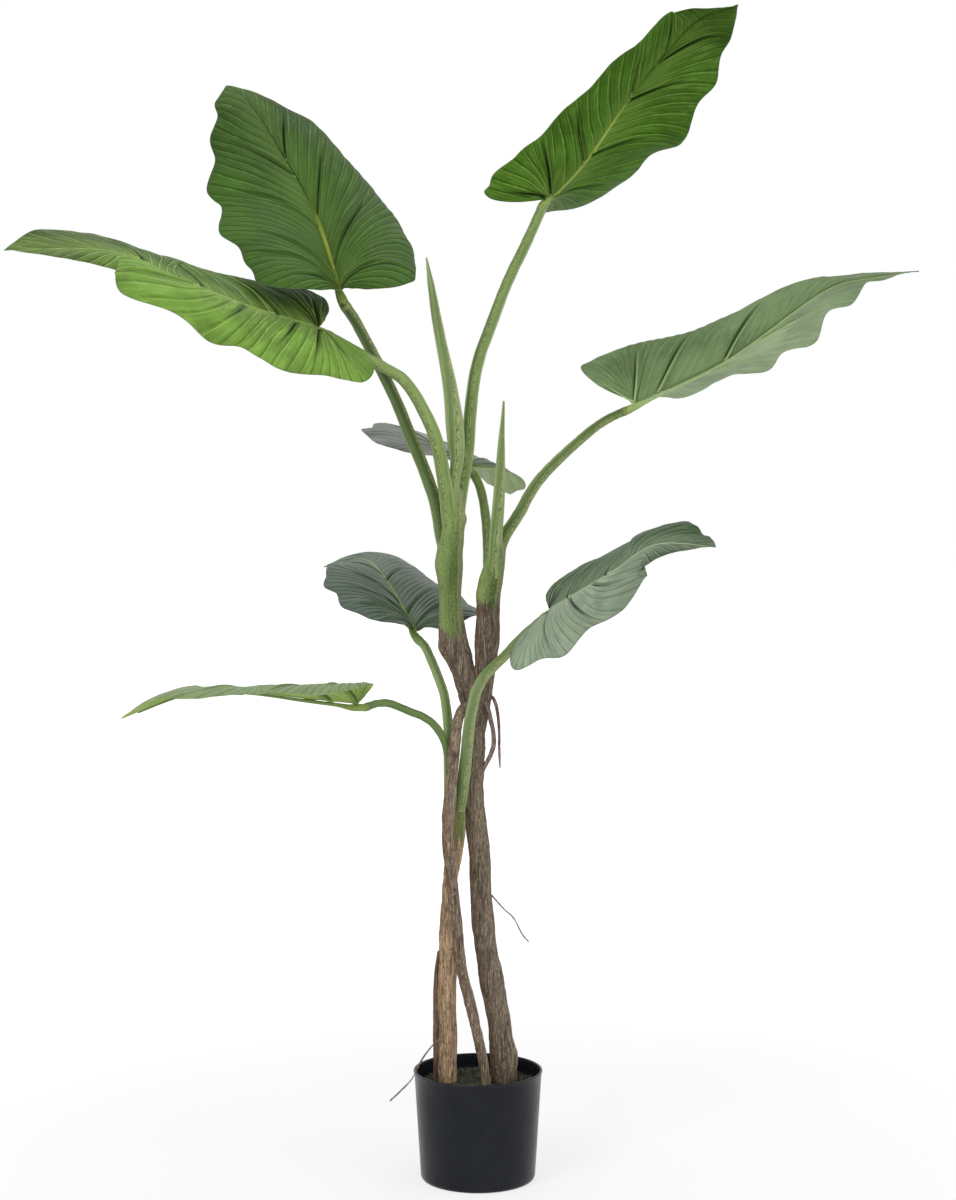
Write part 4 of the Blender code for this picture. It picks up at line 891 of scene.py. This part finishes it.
# ---- trunks and roots ----
KNOTS = [  # place, reach and height of each swelling or hollow on the forked trunk
    ((-0.017, -0.010, 0.897), 0.009, 0.0055), ((-0.052, -0.008, 0.722), 0.013, 0.0065),
    ((-0.053, -0.006, 0.835), 0.016, 0.0035), ((-0.020, -0.008, 0.850), 0.012, -0.0025),
    ((0.003, -0.008, 0.795), 0.011, 0.0030), ((0.050, -0.006, 0.170), 0.020, 0.0045),
    ((0.012, -0.012, 0.212), 0.012, -0.0050), ((-0.016, -0.012, 0.560), 0.012, 0.0040),
    ((0.016, -0.012, 0.455), 0.012, 0.0030), ((-0.012, -0.014, 0.395), 0.010, 0.0030),
    ((0.034, -0.012, 0.290), 0.012, 0.0026), ((0.000, -0.014, 0.500), 0.010, -0.0025),
    ((0.012, -0.012, 0.345), 0.010, 0.0024), ((-0.003, -0.014, 0.640), 0.010, 0.0030),
    ((0.021, -0.012, 0.720), 0.009, -0.0022), ((0.000, -0.012, 0.778), 0.009, 0.0022),
    ((0.036, -0.010, 0.240), 0.010, -0.0020),
]
GREEN_FROM = {"main_trunk": 2.0, "tall_branch": 0.745, "short_branch": 0.790}


def near_branch(points):
    """Which branch of the forked trunk is nearest to each point, and how far to its right the point sits."""
    gaps, flanks = [], []
    for name in GREEN_FROM:
        line = even_curve(STEMS[name]["path"], 60)[0]
        away = np.linalg.norm(points[:, None] - line[None], axis=-1)
        nearest = away.argmin(1)
        radius = along(STEMS[name]["radii"], nearest / 59.0)
        gaps.append(away.min(1) - radius)
        flanks.append((points - line[nearest])[:, 0] / radius)
    chosen = np.argmin(gaps, axis=0)
    return chosen, np.choose(chosen, flanks)


def scars(points, pitch):
    """Ring-like leaf scars up a stem, broken and slightly tilted."""
    level = points[..., 2] + 0.006 * field(points, (40, 40, 6), 12.0)
    near = np.abs((level / pitch) % 1 - 0.5) * pitch
    return np.exp(-(near / 0.0030) ** 2) * np.clip(0.3 + 1.4 * field(points, (35, 35, 8), 17.0), 0, 1)


def fork_mesh():
    """One skin round the forked trunk's three stems."""
    shape = Shape()
    for name in GREEN_FROM:
        spec = STEMS[name]
        line = even_curve(spec["path"], 90)[0]
        add_tube(shape, tube(line, along(spec["radii"], np.linspace(0, 1, 90)), 40)[0])
    mesh = bpy.data.meshes.new("fork")
    mesh.from_pydata(np.concatenate(shape.verts).tolist(), [], shape.faces)
    thing = bpy.data.objects.new("fork", mesh)
    bpy.context.scene.collection.objects.link(thing)
    step = thing.modifiers.new("skin", "REMESH")
    step.mode, step.voxel_size = "VOXEL", 0.0016
    smooth = thing.modifiers.new("soften", "SMOOTH")
    smooth.factor, smooth.iterations = 0.5, 6
    skin = bpy.data.meshes.new_from_object(thing.evaluated_get(bpy.context.evaluated_depsgraph_get()))
    bpy.data.objects.remove(thing)
    return skin


def fine_fork(skin_material):
    skin = fork_mesh()
    points, normals = np.empty(len(skin.vertices) * 3), np.empty(len(skin.vertices) * 3)
    skin.vertices.foreach_get("co", points)
    skin.vertices.foreach_get("normal", normals)
    points, normals = points.reshape(-1, 3), normals.reshape(-1, 3)
    branch, flank = near_branch(points)
    border = np.array(list(GREEN_FROM.values()))[branch] + 0.022 * field(points, (70, 70, 22), 4.0)
    age = border - points[:, 2]
    woody = 1 / (1 + np.exp(-age / 0.006))
    fissure = ridges(points, (150, 150, 15), 2.0) ** 4
    crack = ridges(points, (50, 50, 34), 9.0) ** 9
    groove = np.clip((0.15 + 0.85 * woody) * (0.9 * fissure + 0.5 * crack), 0, 1)
    rough = 0.0008 * field(points, (170, 170, 40), 7.0)
    grain = 0.0004 * field(points, (420, 420, 60), 5.0)
    offset = 0.0010 + 0.0034 * field(points, (34, 34, 17)) + rough * (0.4 + woody)
    offset += woody * (0.0009 * scars(points, 0.062) + grain) - 0.0013 * groove
    for place, reach, height in KNOTS:
        offset += height * np.exp(-((points - place) ** 2).sum(1) / reach ** 2)
    points = points + normals * offset[:, None]
    shape = Shape("age", "groove", "flank")
    faces = [tuple(polygon.vertices) for polygon in skin.polygons]
    shape.add(points, faces, age=age, groove=groove, flank=flank)
    return shape.piece("forked_trunk", [skin_material], "bark_main", "main_trunk")


DULL_GREENS = (96, 104, 58), (124, 128, 74)


def bark_skin(name, brown, pale, deep, green, lime):
    """Bark that turns to speckled green skin where age (metres below the border) drops under zero."""
    n = Nodes(name)
    grain = n.noise(n.place((1, 1, 0.07)), 420.0, 5.0, 0.70)
    fine = n.noise(n.place((1, 1, 0.12)), 1100.0, 3.0, 0.6)
    fleck = n.noise(n.place((1, 1, 0.5)), 620.0, 3.0, 0.65)
    cloud = n.noise(n.place((1, 1, 0.3)), 34.0, 4.0, 0.55)
    pits = n.cells(n.place((1, 1, 0.5)), 300.0)
    height = n.node("SeparateXYZ", {0: n.node("TexCoord", {}, out=3)}, out=2)
    wood = n.mix(n.fit(cloud, 0.36, 0.66), shade(brown, 0.88), shade(pale, 0.96))
    flank = n.value("flank")
    # Painted light: the two flank layers make the wood paler on the +flank side and darker brown on the
    # -flank side.
    wood = n.layers(
        wood,
        (flank, 0.0, 0.9, 0.6, shade(pale, 1.08)),
        (flank, -0.1, -0.9, 0.55, (112, 84, 64)),
        (grain, 0.50, 0.66, 0.65, shade(pale, 1.36)),
        (grain, 0.48, 0.34, 0.8, shade(brown, 0.55)),
        (fine, 0.54, 0.70, 0.7, shade(pale, 1.42)),
        (fine, 0.46, 0.32, 0.75, shade(brown, 0.5)),
        (pits, 0.16, 0.06, 0.6, deep),
        (n.value("groove"), 0.35, 0.95, 0.6, deep))
    wood = n.mix(n.times(n.fit(cloud, 0.52, 0.72), n.fit(fleck, 0.42, 0.62, 0.0, 0.35)), wood,
                 (118, 126, 84))
    # Painted highlight: the green skin turns lime on its -flank side.
    skin = n.mix(n.fit(n.plus(flank, n.minus(cloud, 0.5)), 0.1, -0.75), green, shade(lime, 1.08))
    torn = n.fit(n.plus(flank, n.times(n.minus(grain, 0.5), 0.5)), 0.40, 0.62)
    skin = n.layers(
        skin,
        (height, 0.82, 0.92, 0.75, (146, 170, 100)),
        (cloud, 0.45, 0.7, 0.5, shade(lime, 1.1)),
        (grain, 0.46, 0.34, 0.6, shade(green, 0.70)),
        (fleck, 0.54, 0.68, 0.6, shade(lime, 1.25)),
        (fleck, 0.44, 0.32, 0.6, shade(green, 0.55)),
        (n.value("groove"), 0.2, 0.6, 0.7, deep))
    skin = n.mix(n.times(torn, n.fit(fleck, 0.35, 0.6, 0.25, 0.85)), skin, (166, 172, 122))
    skin = n.mix(n.times(n.fit(n.off(torn, 0.35), 0.3, 0.05), n.fit(grain, 0.46, 0.56, 0.0, 0.8)),
                 skin, (44, 54, 28))
    age = n.plus(n.value("age"), n.times(n.minus(cloud, 0.5), 0.085))
    age = n.plus(age, n.times(n.minus(grain, 0.5), 0.060))
    colour = n.mix(n.fit(age, -0.0030, 0.0030), skin, wood)
    edge = n.fit(n.sum("ABSOLUTE", age), 0.0012, 0.0003, 0.0, 0.7)
    colour = n.mix(edge, colour, deep)
    relief = n.plus(n.times(grain, 0.8), n.times(fine, 0.45))
    relief = n.plus(relief, n.fit(pits, 0.16, 0.06, 0.0, -0.35))
    return n.finish(colour, n.fit(age, -0.003, 0.003, 0.52, 0.82), n.bump(relief, 0.0018, 0.9),
                    Specular_IOR_Level=0.25)


def woody_tube(shape, spec, steps, sides, depth, seed, border=2.0):
    """Add a bark-covered stem to a shape, with fissures and lumps depth metres high."""
    line = even_curve(spec["path"], steps)[0]
    rings, turn, _, out = tube(line, along(spec["radii"], np.linspace(0, 1, steps)), sides)
    fissure = ridges(rings, (160, 160, 16), seed) ** 4
    crack = ridges(rings, (60, 60, 40), seed + 5) ** 9
    groove = np.clip(0.9 * fissure + 0.7 * crack, 0, 1)
    age = border + 0.012 * field(rings, (80, 80, 30), seed) - rings[..., 2]
    woody = 1 / (1 + np.exp(-age / 0.004))
    groove = groove * woody
    lumps = 1.3 * field(rings, (42, 42, 20), seed + 2) + 0.5 * field(rings, (170, 170, 50), seed + 3)
    lumps += 0.25 * field(rings, (500, 500, 70), seed + 6) + 0.5 * scars(rings, 0.048)
    rings = rings + out * (depth * (lumps - 0.7 * groove))[..., None]
    add_tube(shape, rings, age=age, groove=groove, flank=np.cos(turn))


def fine_low_trunk(skin):
    shape = Shape("age", "groove", "flank")
    woody_tube(shape, STEMS["low_trunk"], 260, 44, 0.0016, 3.0, border=0.468)
    return shape.piece("side_trunk", [skin], "bark_tan", "low_trunk")


def fine_root(node, steps, sides, depth, seed, skin):
    shape = Shape("age", "groove", "flank")
    woody_tube(shape, STEMS[node], steps, sides, depth, seed)
    return shape.piece("woody_" + node, [skin], "root_bark", node)


# ---- pot and soil ----
def pot_radius(z):
    return POT_FOOT_RADIUS + (POT_RIM_RADIUS - 0.0010 - POT_FOOT_RADIUS) * z / POT_HEIGHT


def fine_pot():
    sides = 192
    lip = POT_HEIGHT - 0.004
    foot = [(POT_FOOT_RADIUS - inset, z)
            for inset, z in ((0.0070, 0.0), (0.0040, 0.0003), (0.0020, 0.0012), (0.0007, 0.0028))]
    side = [(pot_radius(z), z) for z in (0.0055, 0.012, 0.040, 0.075, 0.110, lip)]
    lips = [(POT_RIM_RADIUS - inset, z)
            for inset, z in ((0.0006, lip + 0.0012), (0.0001, lip + 0.0020), (0.0, POT_HEIGHT - 0.0016),
                             (0.0003, POT_HEIGHT - 0.0006), (0.0009, POT_HEIGHT - 0.0001),
                             (0.0020, POT_HEIGHT))]
    wall = pot_radius(POT_HEIGHT) - POT_WALL
    inner = [(wall + 0.0010, POT_HEIGHT - 0.0001), (wall + 0.0003, POT_HEIGHT - 0.0006),
             (wall, POT_HEIGHT - 0.0020),
             (wall - 0.0006, POT_HEIGHT - 0.012), (pot_radius(0.075) - POT_WALL, 0.075),
             (pot_radius(0.010) - POT_WALL, 0.010), (pot_radius(0.006) - POT_WALL - 0.003, 0.0052),
             (0.0, 0.0052)]
    outer = [(0.0, 0.0), (0.060, 0.0)] + foot + side + [(pot_radius(lip) + 0.0003, lip + 0.0006)] + lips
    profile = np.array(outer + inner)
    turn = np.arange(sides) / sides * 2 * math.pi
    rings = np.stack([profile[:, :1] * np.cos(turn), profile[:, :1] * np.sin(turn),
                      profile[:, 1:] + 0 * turn], -1)
    shape = Shape()
    shape.add(rings, grid_faces(len(profile), sides, wrap=True))
    piece = shape.piece("nursery_pot", [pot_skin()], "pot_plastic", "pot")
    work = bmesh.new()
    work.from_mesh(piece.data)
    bmesh.ops.remove_doubles(work, verts=work.verts, dist=1e-6)
    work.to_mesh(piece.data)
    work.free()
    piece.data.set_sharp_from_angle(angle=math.radians(50))
    return piece


def pot_skin():
    n = Nodes("pot_black_plastic")
    place = n.place()
    cloud = n.noise(place, 26.0, 3.0, 0.5)
    dust = n.cells(place, 260.0)
    scuff = n.noise(n.place((1, 1, 0.12)), 240.0, 3.0, 0.6)
    colour = n.mix(n.fit(cloud, 0.35, 0.7), (20, 22, 29), (26, 28, 35))
    colour = n.mix(n.fit(dust, 0.085, 0.045, 0.0, 0.35), colour, (86, 87, 90))
    normal = n.bump(n.noise(place, 900.0, 2.0), 0.00015, 0.35)
    normal = n.bump(cloud, 0.0012, 0.25, normal)
    return n.finish(colour, n.fit(scuff, 0.3, 0.7, 0.25, 0.36), normal, Specular_IOR_Level=0.2)


def soil_skin():
    n = Nodes("soil_and_moss")
    place = n.place()
    grit, lump = n.noise(place, 900.0, 3.0, 0.65), n.noise(place, 130.0, 3.0, 0.6)
    colour = n.mix(n.fit(lump, 0.35, 0.65), (34, 32, 31), (56, 53, 48))
    colour = n.mix(n.fit(grit, 0.5, 0.72, 0.0, 0.8), colour, (128, 122, 98))
    colour = n.mix(n.fit(n.value("moss"), 0.2, 0.8), colour,
                   n.mix(n.fit(grit, 0.35, 0.65), (52, 60, 46), (104, 114, 88)))
    return n.finish(colour, n.fit(lump, 0.3, 0.7, 0.82, 0.95), n.bump(grit, 0.0012, 0.9),
                    Specular_IOR_Level=0.2)


def mound(far, edge):
    """Height of the soil's low mound at a distance from the middle."""
    return SOIL_TOP + 0.0030 * (1 - (far / edge) ** 2)


def soil_spot(rng, edge):
    """A random place on the mound."""
    far, at = edge * 0.97 * math.sqrt(rng.random()), rng.random() * 2 * math.pi
    return np.array([far * math.cos(at), far * math.sin(at), mound(far, edge)])


def fine_soil(seed=5):
    """Lumpy fill, with grit and short moss fibres standing on it."""
    rng = np.random.default_rng(seed)
    rows, sides = ((76, 190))
    edge = pot_radius(SOIL_TOP) - POT_WALL - FIT_GAP
    radius = edge * np.linspace(0, 1, rows) ** 0.8
    turn = np.arange(sides) / sides * 2 * math.pi
    r, t = np.meshgrid(radius, turn, indexing="ij")
    x, y = r * np.cos(t), r * np.sin(t)
    flat = np.stack([x, y, 0 * x], -1)
    top = mound(r, edge) - 0.0020 * np.clip((r - edge + 0.004) / 0.004, 0, 1)
    for height, scale, variant in ((0.0016, 70, 3.0), (0.0011, 260, 8.0), (0.0007, 600, 1.0)):
        top += height * field(flat, (scale, scale, 1), variant)
    moss = np.clip(0.5 + 1.6 * field(flat, (45, 45, 1), 11.0), 0, 1)
    shape = Shape("moss")
    shape.add(np.stack([x, y, top], -1), grid_faces(rows, sides, wrap=True), moss=moss)
    low = np.stack([edge * np.cos(turn), edge * np.sin(turn), np.full(sides, 0.100)], -1)
    start = shape.count
    shape.add(low, [], moss=0.0)
    rim = np.arange(sides) + (rows - 1) * sides
    shape.join(np.stack([rim, np.roll(rim, -1), start + np.roll(np.arange(sides), -1),
                         start + np.arange(sides)], -1))
    shape.join([tuple(range(start, start + sides))[::-1]])
    for _ in range(760):
        foot = soil_spot(rng, edge) - np.array([0, 0, 0.001])
        lean = np.array([rng.normal(), rng.normal(), abs(rng.normal()) + 0.15])
        size = 0.002 + 0.004 * rng.random()
        reach = foot + unit(lean) * size
        bend = reach + unit(lean + np.array([rng.normal(), rng.normal(), -0.6])) * size * 0.8
        thin = 0.00022 + 0.0002 * rng.random()
        fibre = tube(np.array([foot, reach, bend]), [thin, thin, thin * 0.5], 4)[0]
        add_tube(shape, fibre, moss=0.35 + 0.65 * rng.random())
    for _ in range(160):
        centre = soil_spot(rng, edge)
        size = 0.0008 + 0.0016 * rng.random() ** 2
        centre[2] += 0.2 * size
        half = unit(rng.normal(size=3) * (1, 1, 0.4)) * size * 0.5
        grain = tube(np.array([centre - half, centre, centre + half]), [size * 0.7, size, size * 0.7], 7)[0]
        add_tube(shape, grain, moss=0.2 * rng.random())
    return shape.piece("soil_and_moss", [soil_skin()], "soil_mix", "soil")


# ---- camera, floor and light ----
def lamp(name, place, target, size, power, glossy=True):
    data = bpy.data.lights.new(name, "AREA")
    data.shape, data.size, data.energy = "SQUARE", size, power
    thing = bpy.data.objects.new(name, data)
    thing.location = place
    thing.rotation_euler = (Vector(target) - Vector(place)).to_track_quat("-Z", "Y").to_euler()
    thing.visible_glossy = glossy
    bpy.context.scene.collection.objects.link(thing)


def white_seen(tree):
    """1 for rays from the camera, off gloss and through glass, 0 for the rest."""
    path = tree.nodes.new("ShaderNodeLightPath")
    value = path.outputs["Is Camera Ray"]
    for other in ("Is Glossy Ray", "Is Transmission Ray"):
        node = tree.nodes.new("ShaderNodeMath")
        node.operation = "MAXIMUM"
        tree.links.new(value, node.inputs[0])
        tree.links.new(path.outputs[other], node.inputs[1])
        value = node.outputs[0]
    return value


def set_stage():
    scene = bpy.context.scene
    scene.view_settings.view_transform = "Standard"
    world = bpy.data.worlds.new("studio")
    scene.world = world
    world.use_nodes = True
    tree = world.node_tree
    lift = tree.nodes.new("ShaderNodeMapRange")
    tree.links.new(white_seen(tree), lift.inputs["Value"])
    lift.inputs["To Min"].default_value, lift.inputs["To Max"].default_value = 0.50, 1.0
    tree.nodes["Background"].inputs["Color"].default_value = (1, 1, 1, 1)
    tree.links.new(lift.outputs[0], tree.nodes["Background"].inputs["Strength"])

    mesh = bpy.data.meshes.new("floor")
    reach = 12.0
    mesh.from_pydata([(-reach, -reach, 0), (reach, -reach, 0), (reach, reach, 0), (-reach, reach, 0)], [],
                     [(0, 1, 2, 3)])
    floor = bpy.data.objects.new("floor", mesh)
    scene.collection.objects.link(floor)
    n = Nodes("floor_white")
    mesh.materials.append(n.material)
    tint = n.noise(n.place(), 0.8, 2.0)
    n.finish(n.mix(tint, (158, 158, 158), (160, 160, 160)), 0.9, n.bump(tint, 0.0001, 0.1),
             Specular_IOR_Level=0.0)
    n.shader.inputs["Emission Color"].default_value = (1, 1, 1, 1)
    far = n.node("VectorMath", {0: n.node("TexCoord", {}, out=3)}, out=1, operation="LENGTH")
    seen = n.times(white_seen(n.tree), n.fit(far, 0.5, 2.2, 0.42, 0.75))
    n.tree.links.new(n.plus(seen, 0.28), n.shader.inputs["Emission Strength"])

    lamp("key", (-2.2, -3.0, 3.4), (0, 0, 0.9), 1.8, 60)
    lamp("fill", (3.0, -2.2, 1.6), (0, 0, 0.8), 2.2, 20)
    lamp("top", (0.3, 0.8, 3.6), (0, 0, 0.9), 2.0, 18)
    lamp("front", (0.8, -4.2, 0.9), (0, 0, 0.8), 2.4, 32, glossy=False)

    camera = bpy.data.objects.new("camera", bpy.data.cameras.new("camera"))
    camera.data.lens, camera.data.sensor_width = 78.75, 36.0
    camera.location = (0.0, -3.5, 1.07)
    camera.rotation_euler = (math.radians(90 - 4.6), 0, 0)
    scene.collection.objects.link(camera)
    scene.camera = camera


set_stage()
STALK_LOOKS = {  # skin, painted edge highlight, dark tone (for flecks, patches and the painted shade beside the groove), and where the groove faces (radians from -Y towards +X)
    "top_left": ((96, 120, 60), (156, 174, 112), (58, 76, 38), 0.60),
    "far_left": ((134, 158, 90), (178, 196, 134), (90, 114, 52), -0.55),
    "top_right": ((122, 148, 80), (184, 202, 142), (84, 110, 50), -0.20),
    "right": ((126, 150, 84), (174, 192, 130), (72, 94, 48), 0.35),
    "back": ((116, 138, 70), (158, 176, 110), (84, 102, 50), -0.4),
    "low_right": ((130, 152, 96), (164, 182, 126), (98, 120, 68), 0.3),
    "mid_left": ((134, 156, 98), (166, 184, 124), (98, 122, 68), 0.5),
    "low_left": ((104, 130, 72), (146, 168, 106), (78, 100, 54), 2.2),
}
TOP_RIB = rib_skin("rib_dull", (108, 130, 70), (146, 166, 98))
UNDER_RIB = rib_skin("rib_pale", (146, 170, 112), (196, 214, 156))
for number, (name, leaf) in enumerate(LEAVES.items()):
    stalk_line, rib_line = rib_and_stalk_paths(leaf)
    *looks, towards = STALK_LOOKS[name]
    fine_blade(name, leaf, 3.7 * number)
    fine_ribs(name, leaf, rib_line, UNDER_RIB if name in ("right", "back") else TOP_RIB)
    fine_stalk(name, leaf, stalk_line, stalk_skin("stalk_skin_" + name, *looks), towards)
SPEAR_SKIN = stalk_skin("spear_green", (144, 164, 106), (180, 198, 138), (98, 122, 66))
fine_spear("spear_tall", SPEAR_SKIN, -0.5)
fine_spear("spear_short", SPEAR_SKIN, -0.2)
fine_fork(bark_skin("fork_bark", (102, 90, 76), (134, 120, 104), (42, 34, 28), (88, 106, 56),
                    (130, 148, 88)))
fine_low_trunk(bark_skin("low_bark", (168, 138, 108), (198, 168, 136), (84, 62, 46), (96, 106, 58),
                         (128, 132, 78)))
ROOT_SKIN = bark_skin("root_bark_skin", (124, 109, 92), (154, 137, 118), (56, 45, 38), *DULL_GREENS)
fine_root("climbing_root", 260, 32, 0.0013, 1.0, ROOT_SKIN)
fine_root("side_root", 90, 16, 0.0005, 2.0,
          bark_skin("side_root_bark", (96, 76, 62), (126, 102, 84), (46, 34, 28), *DULL_GREENS))
AERIAL_SKIN = bark_skin("aerial_root_skin", (112, 94, 86), (150, 130, 120), (58, 44, 40), *DULL_GREENS)
fine_root("aerial_root_loop", 120, 20, 0.0008, 3.0, AERIAL_SKIN)
fine_root("aerial_root_hanging", 120, 16, 0.0006, 4.0, AERIAL_SKIN)
fine_root("thin_root_right", 60, 10, 0.0003, 5.0, AERIAL_SKIN)
fine_root("thin_root_left", 80, 10, 0.0003, 6.0, AERIAL_SKIN)
fine_soil()
fine_pot()
